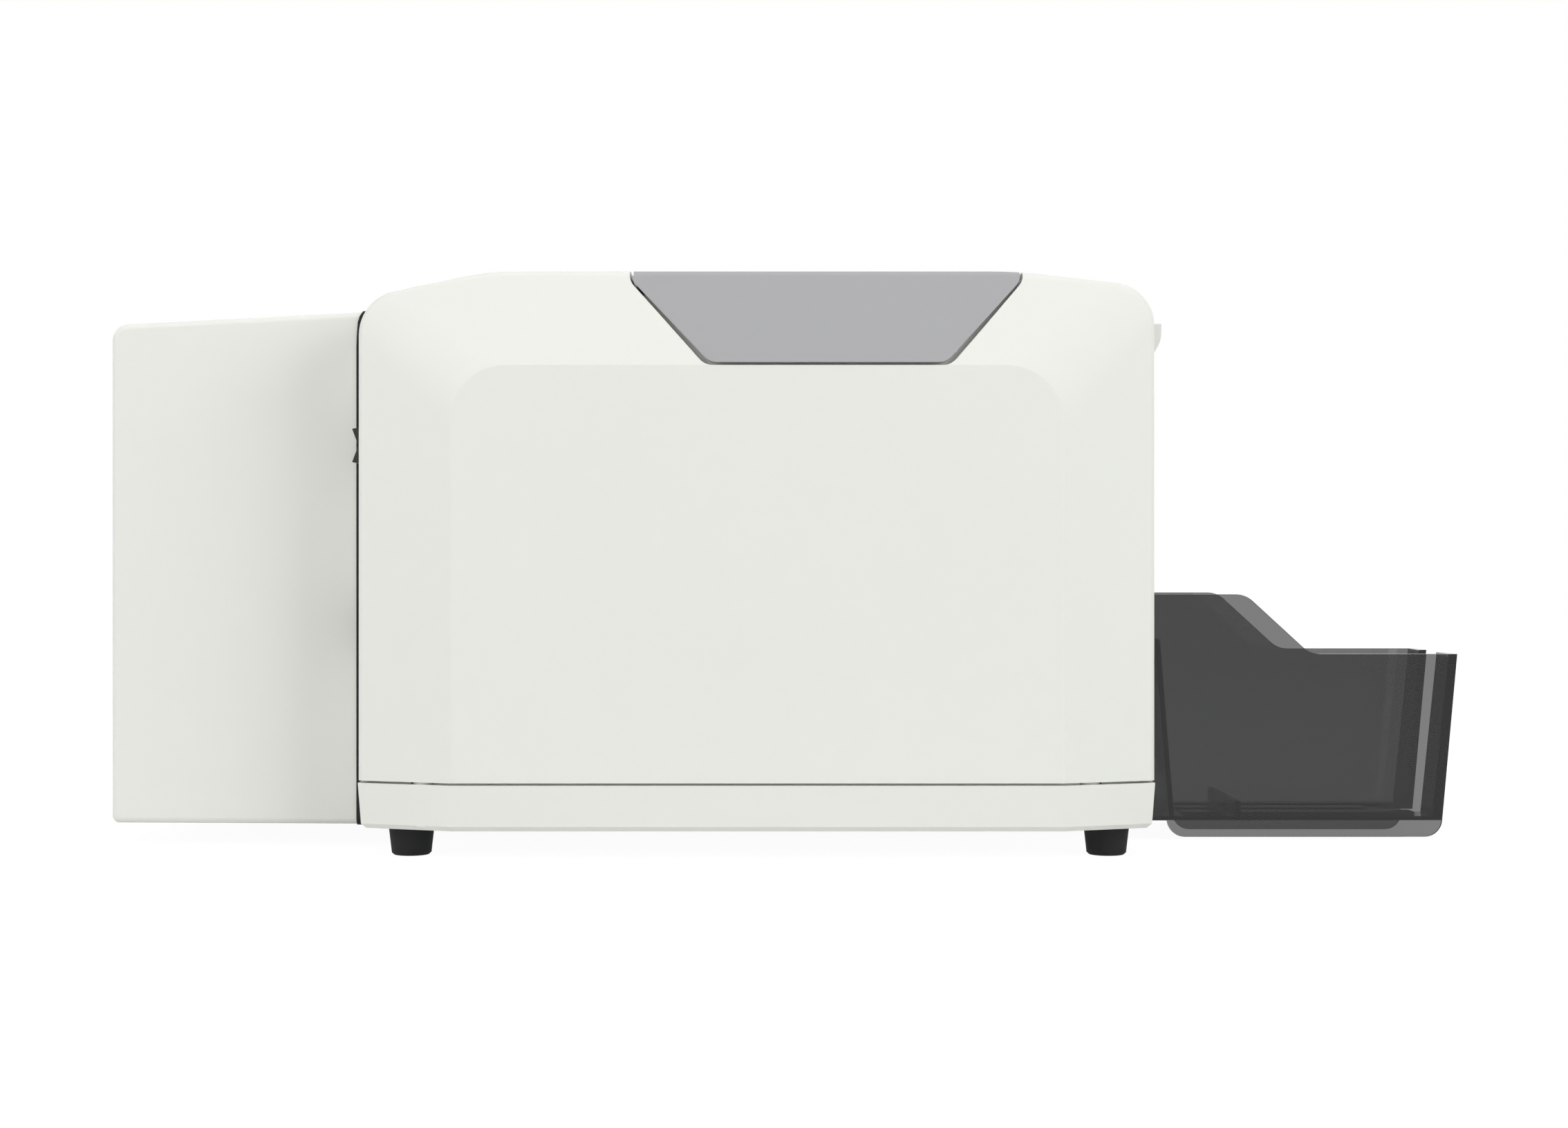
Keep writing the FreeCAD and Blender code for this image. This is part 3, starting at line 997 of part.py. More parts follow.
# Gear train from the motor to the platen
yTrain = (yPlateOut + d.gear_side_gap, yPlateOut + d.gear_side_gap + d.gear_width)
platenGear = Piece("platen_gear")
gear(platenGear, platenSpot, yTrain, d.platen_teeth, -d.gear_line_angle)
platenGear.rod("Y", platenSpot, about(yTrain[0], d.gear_width * 2), d.shaft_radius, cut=True)
idler = Piece("idler_gear")
gear(idler, idlerSpot, yTrain, d.idler_teeth, d.right_angle * 2 / d.idler_teeth - d.gear_line_angle)
idler.rod("Y", idlerSpot, about(yTrain[0], d.gear_width * 2), d.shaft_radius + d.shaft_fit, cut=True)
pinion = Piece("motor_pinion")
gear(pinion, motorSpot, yTrain, d.pinion_teeth, -d.gear_line_angle)
pinion.rod("Y", motorSpot, (yPlateIn - d.motor_boss_height / 2, yTrain[0]), d.motor_shaft_radius)
motor = Piece("drive_motor")
motorX, motorZ = about(motorSpot[0], d.motor_size / 2), about(motorSpot[1], d.motor_size / 2)
yMotor = (yPlateIn - d.seat_gap - d.motor_length, yPlateIn - d.seat_gap)
motor.prism("XZ", yMotor, rectangle(motorX, motorZ, d.motor_corner))
motor.rod("Y", motorSpot, (yMotor[1] - d.motor_boss_height, yPlateOut), d.motor_boss_radius)
motorBore = (yPlateIn - d.motor_boss_height / 2 - d.running_gap, yPlateOut + d.overrun)
motor.rod("Y", motorSpot, motorBore, d.motor_shaft_radius + d.shaft_fit, cut=True)

# Input hopper, pick roller and the weighted card pusher
xHopper = (d.hopper_rear_x, xBezelBack - d.hopper_front_gap)
hopper = Piece("input_hopper")
yBin = d.hopper_half_width
binOuter = yBin + d.hopper_wall
zHopper = (d.hopper_floor - d.hopper_wall, zTop - d.hopper_top_drop)
hopper.block((xHopper[0] - d.hopper_wall, xHopper[1]), (-binOuter, binOuter), zHopper)
hopper.block((xHopper[0], xHopper[1] + d.overrun), (-yBin, yBin),
             (d.hopper_floor, zHopper[1] + d.overrun), cut=True)
yPick = about(size(0), d.pick_half_width + d.path_clearance)
hopper.block(about(d.pick_x, d.pick_radius + d.path_clearance), yPick,
             (d.hopper_floor - d.overrun, d.hopper_floor + d.hopper_wall), cut=True)
hopper.block((xHopper[0] - d.overrun, xHopper[0] + d.hopper_wall), about(size(0), d.card_half_width),
             (d.hopper_floor, d.hopper_floor + d.path_clearance), cut=True)
for side in (-1, 1):
    shelf = about(side * (binOuter + yTie) / 2, (yTie - binOuter) / 2 + d.seat_gap)
    hopper.block((xHopper[0] + d.bay_side, xHopper[1] - d.bay_side), shelf, (zHopper[0], d.hopper_floor))
pick = Piece("pick_roller")
pick.rod("Y", pickSpot, about(size(0), yPlateOut + d.gear_side_gap), d.shaft_radius)
pick.rod("Y", pickSpot, about(size(0), d.pick_half_width), d.pick_radius)
pusher = Piece("card_pusher")
zPusher = d.hopper_floor + d.card_gap + d.seat_gap * 2
xPusher = (xHopper[0] + d.pusher_gap, xHopper[1] - d.pusher_gap)
pusher.block(xPusher, about(size(0), yBin - d.pusher_gap), (zPusher, zPusher + d.pusher_wall))
pusher.block(about((xPusher[0] + xPusher[1]) / 2, d.pusher_grip_length / 2), about(size(0), d.pusher_wall / 2),
             (zPusher, zPusher + d.pusher_grip))

# Print head carriage with cooling fins, riding between the chassis plates
zHead = d.card_path + d.card_gap / 2 + d.head_gap
head = Piece("print_head")
xHead = about(d.platen_x, d.head_depth / 2)
xStrip = about(d.platen_x, d.head_strip)
zBlock = (zHead + d.head_strip, zHead + d.head_strip + d.head_height)
head.block(xStrip, about(size(0), d.head_half_width - d.head_strip), (zHead, zBlock[0]))
head.block(xHead, about(size(0), d.head_half_width), zBlock)
head.block(xStrip, about(size(0), yPlateIn - d.running_gap), zBlock)
for index in range(dims["fin_count"]):
    x = xHead[0] + (d.head_depth - d.fin_wall) * index / (d.fin_count - 1)
    fin = about(size(0), d.head_half_width - d.head_strip * 2)
    head.block((x, x + d.fin_wall), fin, (zBlock[0] + d.head_height / 2, zBlock[1] + d.fin_height))

# Ribbon cassette: end rails, supply and take-up rolls, and the film led round the head
supplySpot, takeupSpot = (d.supply_x, d.spool_height), (d.takeup_x, d.spool_height)
cassette = Piece("ribbon_cassette")
for side in (-1, 1):
    rail = about(side * (d.cassette_inner + yTie) / 2, (yTie - d.cassette_inner) / 2)
    through = about(side * d.cassette_inner, d.overrun * 2)
    cassette.block((d.supply_x, d.takeup_x), rail, about(d.spool_height, d.cassette_bar))
    for spot in (supplySpot, takeupSpot):
        cassette.rod("Y", spot, rail, d.cassette_lobe)
    for spot in (supplySpot, takeupSpot):
        cassette.rod("Y", spot, through, d.core_radius / 2 + d.shaft_fit, cut=True)
xBridge = about((d.supply_x + d.takeup_x) / 2, d.cassette_bar)
zBridge = (d.spool_height + d.cassette_bar - d.cassette_bridge, d.spool_height + d.cassette_bar)
cassette.block(xBridge, about(size(0), d.cassette_inner + d.seat_gap), zBridge)
rolls = (("supply_roll", supplySpot, d.supply_roll_radius), ("takeup_roll", takeupSpot, d.takeup_roll_radius))
for name, spot, radius in rolls:
    roll = Piece(name)
    roll.rod("Y", spot, about(size(0), d.roll_half_width - d.overrun / 2), radius)
    roll.rod("Y", spot, about(size(0), d.roll_half_width), d.core_radius)
    roll.rod("Y", spot, about(size(0), d.cassette_inner + d.spool_flange), d.core_radius / 2)
web = Piece("ribbon_web")
zWeb = zHead - d.running_gap
xTurn = about(d.platen_x, d.head_depth / 2 + d.web_side)
supplyFoot = (d.supply_x, d.spool_height - d.supply_roll_radius - d.running_gap)
takeupFoot = (d.takeup_x, d.spool_height - d.takeup_roll_radius - d.running_gap)
web.prism("XZ", about(size(0), d.roll_half_width - d.overrun / 2), [
    supplyFoot, (xTurn[0], zWeb), (xTurn[1], zWeb), takeupFoot,
    (takeupFoot[0], takeupFoot[1] - d.web_wall * 2),
    (xTurn[1] + d.web_wall, zWeb - d.web_wall), (xTurn[0] - d.web_wall, zWeb - d.web_wall),
    (supplyFoot[0], supplyFoot[1] - d.web_wall * 2)])

# Main board, power supply and cooling fan
board = Piece("main_board")
yBoard = (-d.board_y - d.board_wall, -d.board_y)
board.block(xBoard, yBoard, zBoard)
xMiddle, zMiddle = (xBoard[0] + xBoard[1]) / 2, (zBoard[0] + zBoard[1]) / 2
yChip = (yBoard[0] - d.chip_height, yBoard[0] + d.board_wall / 2)
board.block(about(xMiddle, d.chip_size / 2), yChip, about(zMiddle, d.chip_size / 2))
for index in range(dims["connector_count"]):
    x = xBoard[0] + d.board_length * (index + 1) / (d.connector_count + 1)
    board.block(about(x, d.connector_length / 2),
                (yBoard[0] - d.connector_height, yBoard[0] + d.board_wall / 2),
                (zBoard[1] - d.connector_height - d.board_wall, zBoard[1] - d.board_wall))
psu = Piece("power_supply")
xSupply = (d.supply_start_x, d.supply_start_x + d.supply_length)
ySupply = (d.supply_inset - d.body_half_width, -yPlateOut - d.supply_gap)
zSupply = (zFloor + d.seat_gap, zFloor + d.seat_gap + d.supply_height)
psu.block(xSupply, ySupply, zSupply)
psu.block((xSupply[0] + d.supply_wall, xSupply[1] - d.supply_wall),
          (ySupply[0] - d.overrun, ySupply[1] - d.supply_wall),
          (zSupply[0] + d.supply_wall, zSupply[1] + d.overrun), cut=True)
for share in coil_shares:
    x = xSupply[0] + d.supply_length * share
    psu.block(about(x, d.coil_size / 2), (ySupply[0] + d.supply_wall, ySupply[1] - d.supply_wall / 2),
              (zSupply[0] + d.supply_wall / 2, zSupply[0] + d.coil_size))
fanX = (xRearBack + d.seat_gap, xRearBack + d.seat_gap + d.fan_depth)
fanSpot = (yFan, zFan)
fan = Piece("fan_frame")
fanHalf = d.fan_size / 2
fan.prism("YZ", fanX, rectangle(about(yFan, fanHalf), about(zFan, fanHalf), d.motor_corner / 2))
fanBore = (fanX[0] - d.overrun, fanX[1] + d.overrun)
fan.rod("X", fanSpot, fanBore, d.fan_blade_tip + d.running_gap * 2, cut=True)
strutZ = about(zFan, fanHalf - d.running_gap)
fan.block((fanX[1] - d.fan_strut, fanX[1]), about(yFan, d.fan_strut), strutZ)
fan.rod("X", fanSpot, (fanX[0] + d.fan_depth / 2, fanX[1]), d.shaft_radius)
wheel = Piece("fan_wheel")
wheelX = (fanX[0] + d.fan_strut, fanX[1] - d.fan_strut - d.running_gap)
wheel.rod("X", fanSpot, wheelX, d.fan_hub_radius)
blade = rectangle((d.fan_hub_radius / 2, d.fan_blade_tip), about(size(0), d.fan_blade_wall / 2))
wheel.crown("YZ", fanSpot, wheelX, blade, d.fan_blades)
hubBore = (fanX[0] + d.fan_depth / 2 - d.running_gap, fanX[1])
wheel.rod("X", fanSpot, hubBore, d.shaft_radius + d.running_gap, cut=True)

# Screws: four through the flipper frame, four through the tray bracket
screws = Piece("panel_screws")


def screw(place, seat, side, pieces):
    """One screw with its head on the seat, and its hole through the pieces. Side is where its tip points."""
    top = seat - side * d.screw_head_height
    span = (top, seat) if side > 0 else (seat, top)
    tip = seat + side * d.screw_length
    shank = (span[0], tip) if side > 0 else (tip, span[1])
    screws.rod("X", place, span, d.screw_head_radius)
    screws.rod("X", place, shank, d.screw_radius)
    for piece in pieces:
        hole = (shank[0] - d.overrun, shank[1]) if side > 0 else (shank[0], shank[1] + d.overrun)
        piece.rod("X", place, hole, d.screw_radius + d.shaft_fit, cut=True)


for y in (-yMount + d.screw_inset, yMount - d.screw_inset):
    for z in (zMount[0] + d.screw_inset, zMount[1] - d.screw_inset):
        screw((y, z), xMount[0], 1, (frame, rearPanel))
for y in (yPlate[0] + d.screw_head_radius * 2, yPlate[1] - d.screw_head_radius * 2):
    for z in (zOpening + d.overrun + d.screw_head_radius * 2, d.tray_back_top - d.screw_head_radius):
        screw((y, z), xPlate + d.bracket_plate, -1, (bracket, bezel))


def problems():
    found = []
    for item in doc.Objects:
        if "Invalid" in item.State or "Error" in item.State:
            found.append(f"{item.Name} {item.State}")
    for piece in Piece.all:
        if piece.body.Shape.isNull() or not piece.body.Shape.isValid():
            found.append(f"{piece.label} has no valid shape")
    return found


doc.recompute()
faults = problems()
if faults:
    raise RuntimeError("; ".join(faults))
os.makedirs("parts", exist_ok=True)
for piece in Piece.all:
    piece.body.Shape.exportStep(f"parts/{piece.label}.step")
    print(piece.label, len(piece.body.Shape.Solids), round(piece.body.Shape.Volume))
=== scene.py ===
import bpy
import json
import math
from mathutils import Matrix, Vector


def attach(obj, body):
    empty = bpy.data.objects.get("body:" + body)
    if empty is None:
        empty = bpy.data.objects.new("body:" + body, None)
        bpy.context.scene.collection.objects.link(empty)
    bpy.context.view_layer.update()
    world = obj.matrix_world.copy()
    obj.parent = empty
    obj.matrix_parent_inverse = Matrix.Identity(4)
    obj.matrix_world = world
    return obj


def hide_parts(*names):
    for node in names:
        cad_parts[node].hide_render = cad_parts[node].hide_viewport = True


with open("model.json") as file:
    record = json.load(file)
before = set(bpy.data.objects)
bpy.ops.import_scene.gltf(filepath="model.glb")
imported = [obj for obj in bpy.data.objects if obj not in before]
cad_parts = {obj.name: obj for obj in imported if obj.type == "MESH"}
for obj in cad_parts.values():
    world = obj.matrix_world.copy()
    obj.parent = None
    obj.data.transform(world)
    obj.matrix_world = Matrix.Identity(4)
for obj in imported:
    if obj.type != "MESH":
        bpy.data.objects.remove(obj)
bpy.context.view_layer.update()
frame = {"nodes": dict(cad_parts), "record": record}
nodes = frame["nodes"]
record = frame["record"]
slotOf = {part["node"]: part["material_slot"] for part in record["subparts"]}
bodyOf = {name: body for body, members in record["behaviour"]["bodies"].items() for name in members}
mm = 0.001
weld = 0.01 * mm  # points closer than this become one
close = 0.01  # in mm, when places are compared
straight = 0.01  # in radians, a corner that turns less is none
through = (-110, 110)  # a span that reaches past whatever is cut across
over = 5  # how far a cutting tool stands out of what it cuts
spare = 1  # the same, for the tool of a hole or a ring
boreSides = 24
white, black = (1, 1, 1, 1), (0, 0, 0, 1)
print("frame loaded:", len(nodes), "nodes")


# a wrapped socket: + - * make the Math nodes
class Wire:
    def __init__(self, tree, socket):
        self.tree = tree
        self.socket = socket

    def maths(self, operation, first, second):
        node = self.tree.nodes.new("ShaderNodeMath")
        node.operation = operation
        for index, value in enumerate((first, second)):
            if isinstance(value, Wire):
                self.tree.links.new(value.socket, node.inputs[index])
            else:
                node.inputs[index].default_value = value
        return Wire(self.tree, node.outputs[0])

    def larger(self, other):
        return self.maths("MAXIMUM", self, other)

    def __add__(self, other):
        return self.maths("ADD", self, other)

    def __radd__(self, other):
        return self.maths("ADD", other, self)

    def __sub__(self, other):
        return self.maths("SUBTRACT", self, other)

    def __rsub__(self, other):
        return self.maths("SUBTRACT", other, self)

    def __mul__(self, other):
        return self.maths("MULTIPLY", self, other)

    def __rmul__(self, other):
        return self.maths("MULTIPLY", other, self)


def shade(colour, share):
    return tuple(min(value * share, 1) for value in colour) + (1,)


# 1 for rays that see a thing straight, in a reflection or through a clear wall
def directRay(tree):
    path = tree.nodes.new("ShaderNodeLightPath")
    camera, glossy, transmission = (Wire(tree, path.outputs["Is %s Ray" % kind])
                                    for kind in ("Camera", "Glossy", "Transmission"))
    return camera.larger(glossy).larger(transmission)


# a material and the nodes that its recipe asks for
class Finish:
    def __init__(self, name):
        self.material = bpy.data.materials.new(name)
        self.material.use_nodes = True
        self.tree = self.material.node_tree
        self.tree.nodes.clear()
        self.output = self.tree.nodes.new("ShaderNodeOutputMaterial")
        self.place = self.node("TexCoord", out="Object")

    # a node with its settings, then its inputs by name or, as i0, i1, by number
    def node(self, kind, settings=None, out=0, **values):
        node = self.tree.nodes.new("ShaderNode" + kind)
        for key, value in (settings or {}).items():
            setattr(node, key, value)
        for key, value in values.items():
            socket = node.inputs[int(key[1:]) if key[1:].isdigit() else key.replace("_", " ")]
            if isinstance(value, Wire):
                self.tree.links.new(value.socket, socket)
            else:
                socket.default_value = value
        return Wire(self.tree, node.outputs[out])

    def spread(self, scale, stretch=(1, 1, 1)):
        return self.node("Mapping", Vector=self.place, Scale=[scale * value for value in stretch])

    def noise(self, scale, detail, stretch=(1, 1, 1)):
        return self.node("TexNoise", Vector=self.spread(scale, stretch), Scale=1.0, Detail=detail)

    def cells(self, scale):
        return self.node("TexVoronoi", Vector=self.spread(scale), Scale=1.0)

    # the colour between a darker and a lighter tone
    def tint(self, factor, colour, tones):
        low, high = (shade(colour, tone) for tone in tones)
        return self.node("Mix", {"data_type": "RGBA"}, 2, i0=factor, i6=low, i7=high)

    def ramp(self, value, low, high):
        return self.node("MapRange", Value=value, From_Min=low, From_Max=high)

    def bump(self, height, strength, distance):
        return self.node("Bump", Height=height, Strength=strength, Distance=distance)

    def finish(self, shader, volume=None):
        self.tree.links.new(shader.socket, self.output.inputs["Surface"])
        if volume:
            self.tree.links.new(volume.socket, self.output.inputs["Volume"])
        return self.material


# one finish for each material slot
finishes = {
    "casing": {"kind": "plastic", "colour": (0.806, 0.815, 0.768), "roughness": 0.42, "grain": 2600,
               "depth": 0.05, "sheen": 0.5},
    "lid_gray": {"kind": "plastic", "colour": (0.388, 0.388, 0.397), "roughness": 0.4, "grain": 2600,
                 "depth": 0.05, "sheen": 0.45},
    "black": {"kind": "plastic", "colour": (0.02, 0.02, 0.021), "roughness": 0.42, "grain": 1800,
              "depth": 0.12, "sheen": 0.45},
    "keys": {"kind": "plastic", "colour": (0.3, 0.31, 0.32), "roughness": 0.36, "grain": 2400,
             "depth": 0.06, "sheen": 0.5},
    "gear_plastic": {"kind": "plastic", "colour": (0.8, 0.78, 0.7), "roughness": 0.38, "grain": 1500,
                     "depth": 0.04, "sheen": 0.5},
    "foot_rubber": {"kind": "rubber", "colour": (0.022, 0.022, 0.023), "roughness": 0.7, "grain": 1200,
                    "depth": 0.25, "sheen": 0.2},
    "steel": {"kind": "metal", "colour": (0.6, 0.6, 0.6), "roughness": 0.26, "grain": 900, "depth": 0.04},
    "sheet_metal": {"kind": "metal", "colour": (0.62, 0.63, 0.64), "roughness": 0.36, "grain": 500,
                    "depth": 0.05},
    "aluminium": {"kind": "metal", "colour": (0.7, 0.71, 0.72), "roughness": 0.32, "grain": 800,
                  "depth": 0.05},
    "brass": {"kind": "metal", "colour": (0.66, 0.48, 0.22), "roughness": 0.3, "grain": 800, "depth": 0.04},
    "motor_black": {"kind": "paint", "colour": (0.045, 0.045, 0.05), "roughness": 0.4, "grain": 1500,
                    "depth": 0.1},
    "board_green": {"kind": "board", "colour": (0.02, 0.13, 0.06), "roughness": 0.35, "grain": 900,
                    "depth": 0.1},
    "ribbon": {"kind": "film", "colour": (0.03, 0.03, 0.035), "roughness": 0.2, "grain": 400, "depth": 0.03},
    "smoke": {"kind": "smoke", "absorption": 850.0, "roughness": 0.002},
    "clear": {"kind": "smoke", "absorption": 900.0, "roughness": 0.002},
}

# a noise is its scale, detail and stretch, without the scale where that follows the finish's grain
moulded = {"grainDetail": 3.0, "pitScale": 0.6, "pitEdge": (0.1, 0.6), "cloud": (14, 2.0),
           "flow": (6, 1.0, (1, 1, 3)), "cloudShare": 0.6, "tones": (0.985, 1.015), "smoother": 0.05,
           "grainRough": 0.06, "cloudRough": 0.04, "pitRough": 0.02, "grainBump": 0.7, "distance": 0.0002}


# spark-eroded mould texture: fine grain with small pits, faint flow clouds
def mouldedPlastic(make, look):
    grain = make.noise(look["grain"], moulded["grainDetail"])
    pits = make.ramp(make.cells(look["grain"] * moulded["pitScale"]), *moulded["pitEdge"])
    cloud = make.noise(*moulded["cloud"])
    flow = make.noise(*moulded["flow"])
    clouds = cloud * moulded["cloudShare"] + flow * (1 - moulded["cloudShare"])
    rough = look["roughness"] - moulded["smoother"] + grain * moulded["grainRough"]
    rough = rough + cloud * moulded["cloudRough"] + moulded["pitRough"] * (1 - pits)
    height = grain * moulded["grainBump"] + pits * (1 - moulded["grainBump"])
    return make.node("BsdfPrincipled", Base_Color=make.tint(clouds, look["colour"], moulded["tones"]),
                     Roughness=rough, Specular_IOR_Level=look["sheen"],
                     Normal=make.bump(height, look["depth"], moulded["distance"]))


rubber = {"grainDetail": 4.0, "poreScale": 0.5, "poreEdge": (0.0, 0.4), "dust": (60, 3.0), "poreShade": 0.5,
          "tones": (1, 1.5), "dustRough": 0.15, "grainBump": 0.6, "distance": 0.0003}


# pores and a little dust in them
def softRubber(make, look):
    grain = make.noise(look["grain"], rubber["grainDetail"])
    pores = make.ramp(make.cells(look["grain"] * rubber["poreScale"]), *rubber["poreEdge"])
    dust = make.noise(*rubber["dust"])
    colour = make.tint(dust * (1 - pores * rubber["poreShade"]), look["colour"], rubber["tones"])
    height = grain * rubber["grainBump"] + pores * (1 - rubber["grainBump"])
    return make.node("BsdfPrincipled", Base_Color=colour, Specular_IOR_Level=look["sheen"],
                     Roughness=look["roughness"] + dust * rubber["dustRough"],
                     Normal=make.bump(height, look["depth"], rubber["distance"]))


metal = {"lines": (2.0, (1, 0.04, 1)), "scratchScale": 0.4, "scratches": (1.0, (0.05, 1, 1)),
         "scratchEdge": (0.55, 0.75), "stain": (25, 3.0), "scratchShade": 0.2, "tones": (0.92, 1.05),
         "smoother": 0.06, "lineRough": 0.1, "stainRough": 0.05, "scratchRough": 0.06, "lineBump": 0.8,
         "distance": 0.0001}


# long grinding lines, some scratches across, faint stains
def groundMetal(make, look):
    lines = make.noise(look["grain"], *metal["lines"])
    scratches = make.noise(look["grain"] * metal["scratchScale"], *metal["scratches"])
    scratches = make.ramp(scratches, *metal["scratchEdge"])
    stain = make.noise(*metal["stain"])
    rough = look["roughness"] - metal["smoother"] + lines * metal["lineRough"]
    rough = rough + stain * metal["stainRough"] + scratches * metal["scratchRough"]
    height = lines * metal["lineBump"] + scratches * (1 - metal["lineBump"])
    colour = make.tint(stain - scratches * metal["scratchShade"], look["colour"], metal["tones"])
    return make.node("BsdfPrincipled", Base_Color=colour, Metallic=1.0, Roughness=rough,
                     Normal=make.bump(height, look["depth"], metal["distance"]))


paint = {"peelDetail": 1.0, "dust": (30, 3.0), "tones": (1, 1.3), "peelRough": 0.1, "coat": 0.2,
         "distance": 0.0002}


# orange peel of a baked coat, and a little dust
def bakedPaint(make, look):
    peel = make.noise(look["grain"], paint["peelDetail"])
    dust = make.noise(*paint["dust"])
    return make.node("BsdfPrincipled", Base_Color=make.tint(dust, look["colour"], paint["tones"]),
                     Roughness=look["roughness"] + peel * paint["peelRough"],
                     Coat_Weight=paint["coat"] + paint["coat"] * (1 - dust),
                     Normal=make.bump(peel, look["depth"], paint["distance"]))


board = {"copper": 90, "copperEdge": (0.35, 0.4), "weaveShare": 0.4, "tones": (1, 1.7), "weaveRough": 0.1,
         "weaveBump": 0.3, "distance": 0.0001}


# glass weave under the mask, with broad copper areas that show through
def solderBoard(make, look):
    weave = make.cells(look["grain"])
    areas = make.ramp(make.cells(board["copper"]), *board["copperEdge"])
    mask = weave * board["weaveShare"] + areas * (1 - board["weaveShare"])
    height = weave * board["weaveBump"] + areas * (1 - board["weaveBump"])
    return make.node("BsdfPrincipled", Base_Color=make.tint(mask, look["colour"], board["tones"]),
                     Roughness=look["roughness"] + weave * board["weaveRough"],
                     Normal=make.bump(height, look["depth"], board["distance"]))


film = {"wave": (1.0, (1, 0.2, 1)), "creaseScale": 0.2, "creases": (2.0, (0.2, 1, 0.2)),
        "creaseEdge": (0.55, 0.7), "creaseShade": 0.3, "tones": (1, 1.4), "waveRough": 0.08, "waveBump": 0.6,
        "distance": 0.0003}


# tight film with faint waves across the web and a few creases
def glossFilm(make, look):
    wave = make.noise(look["grain"], *film["wave"])
    creases = make.noise(look["grain"] * film["creaseScale"], *film["creases"])
    creases = make.ramp(creases, *film["creaseEdge"])
    height = wave * film["waveBump"] + creases * (1 - film["waveBump"])
    colour = make.tint(wave + creases * film["creaseShade"], look["colour"], film["tones"])
    return make.node("BsdfPrincipled", Base_Color=colour,
                     Roughness=look["roughness"] + wave * film["waveRough"],
                     Normal=make.bump(height, look["depth"], film["distance"]))


smoke = {"wave": (40, 1.0), "marks": (120, 2.0, (1, 0.1, 1)), "marksEdge": (0.6, 0.8), "waveRough": 0.002,
         "marksRough": 0.004, "refraction": 1.5, "depth": 0.004, "distance": 0.0001}


# tinted clear moulding: the volume tints, the surface has faint flow waves and handling marks
def smokeTint(make, look):
    wave = make.noise(*smoke["wave"])
    marks = make.ramp(make.noise(*smoke["marks"]), *smoke["marksEdge"])
    rough = look["roughness"] + wave * smoke["waveRough"] + marks * smoke["marksRough"]
    return make.node("BsdfPrincipled", Base_Color=white, Transmission_Weight=1.0, IOR=smoke["refraction"],
                     Roughness=rough, Normal=make.bump(wave, smoke["depth"], smoke["distance"]))


recipes = {"plastic": mouldedPlastic, "rubber": softRubber, "metal": groundMetal, "paint": bakedPaint,
           "board": solderBoard, "film": glossFilm, "smoke": smokeTint}
surfaces = {}
for slot, look in finishes.items():
    make = Finish(slot)
    shader = recipes[look["kind"]](make, look)
    volume = None
    if look["kind"] == "smoke":
        volume = make.node("VolumeAbsorption", Color=black, Density=look["absorption"])
    surfaces[slot] = make.finish(shader, volume)
print("finishes made:", len(surfaces))


def dress(piece, slot):
    piece.data.materials.clear()
    piece.data.materials.append(surfaces[slot])


for name, item in nodes.items():
    dress(item, slotOf[name])


def clearSelection():
    if bpy.context.object and bpy.context.object.mode != "OBJECT":
        bpy.ops.object.mode_set(mode="OBJECT")
    bpy.ops.object.select_all(action="DESELECT")


def activate(piece):
    clearSelection()
    piece.select_set(True)
    bpy.context.view_layer.objects.active = piece


def editAll(piece):
    activate(piece)
    bpy.ops.object.mode_set(mode="EDIT")
    bpy.ops.mesh.select_all(action="SELECT")


def leaveEdit():
    bpy.ops.object.mode_set(mode="OBJECT")


# nothing selected in edit mode, then back in object mode, where code can pick
def startPicking(piece, kind):
    activate(piece)
    bpy.ops.object.mode_set(mode="EDIT")
    bpy.ops.mesh.select_mode(type=kind)
    bpy.ops.mesh.select_all(action="DESELECT")
    bpy.ops.object.mode_set(mode="OBJECT")


# edit mode with the edges selected whose two ends are wanted, in mm
def editEdges(piece, wanted):
    startPicking(piece, "EDGE")
    points = piece.data.vertices
    for edge in piece.data.edges:
        first, second = (points[index].co / mm for index in edge.vertices)
        edge.select = wanted(first, second)
    bpy.ops.object.mode_set(mode="EDIT")


# the same for faces, by middle and normal
def editFaces(piece, wanted):
    startPicking(piece, "FACE")
    for face in piece.data.polygons:
        face.select = wanted(face.center / mm, face.normal)
    bpy.ops.object.mode_set(mode="EDIT")


def modify(piece, kind, **settings):
    activate(piece)
    modifier = piece.modifiers.new(kind.lower(), kind)
    for key, value in settings.items():
        setattr(modifier, key, value)
    bpy.ops.object.modifier_apply(modifier=modifier.name)


def combine(piece, tool, operation="DIFFERENCE"):
    modify(piece, "BOOLEAN", operation=operation, object=tool, solver="EXACT")
    bpy.data.objects.remove(tool)


def roundEdges(piece, width, segments, angle):
    modify(piece, "BEVEL", width=width * mm, segments=segments, limit_method="ANGLE",
           angle_limit=math.radians(angle), use_clamp_overlap=True, harden_normals=False)


def thicken(piece, wall):
    modify(piece, "SOLIDIFY", thickness=wall * mm, offset=-1, use_even_offset=True)


def smooth(piece, angle):
    activate(piece)
    bpy.ops.object.shade_smooth_by_angle(angle=math.radians(angle))
    modify(piece, "WEIGHTED_NORMAL", keep_sharp=True)  # flat faces stay flat beside a small bevel


def outward(piece):
    editAll(piece)
    bpy.ops.mesh.remove_doubles(threshold=weld)
    bpy.ops.mesh.normals_make_consistent(inside=False)
    leaveEdit()


def gridSheet(name, rows):
    clearSelection()
    bpy.ops.mesh.primitive_grid_add(x_subdivisions=len(rows[0]) - 1, y_subdivisions=len(rows) - 1, size=1)
    piece = bpy.context.object
    piece.name = name
    for vertex, point in zip(piece.data.vertices, [point for row in rows for point in row]):
        vertex.co = Vector(point) * mm
    return piece


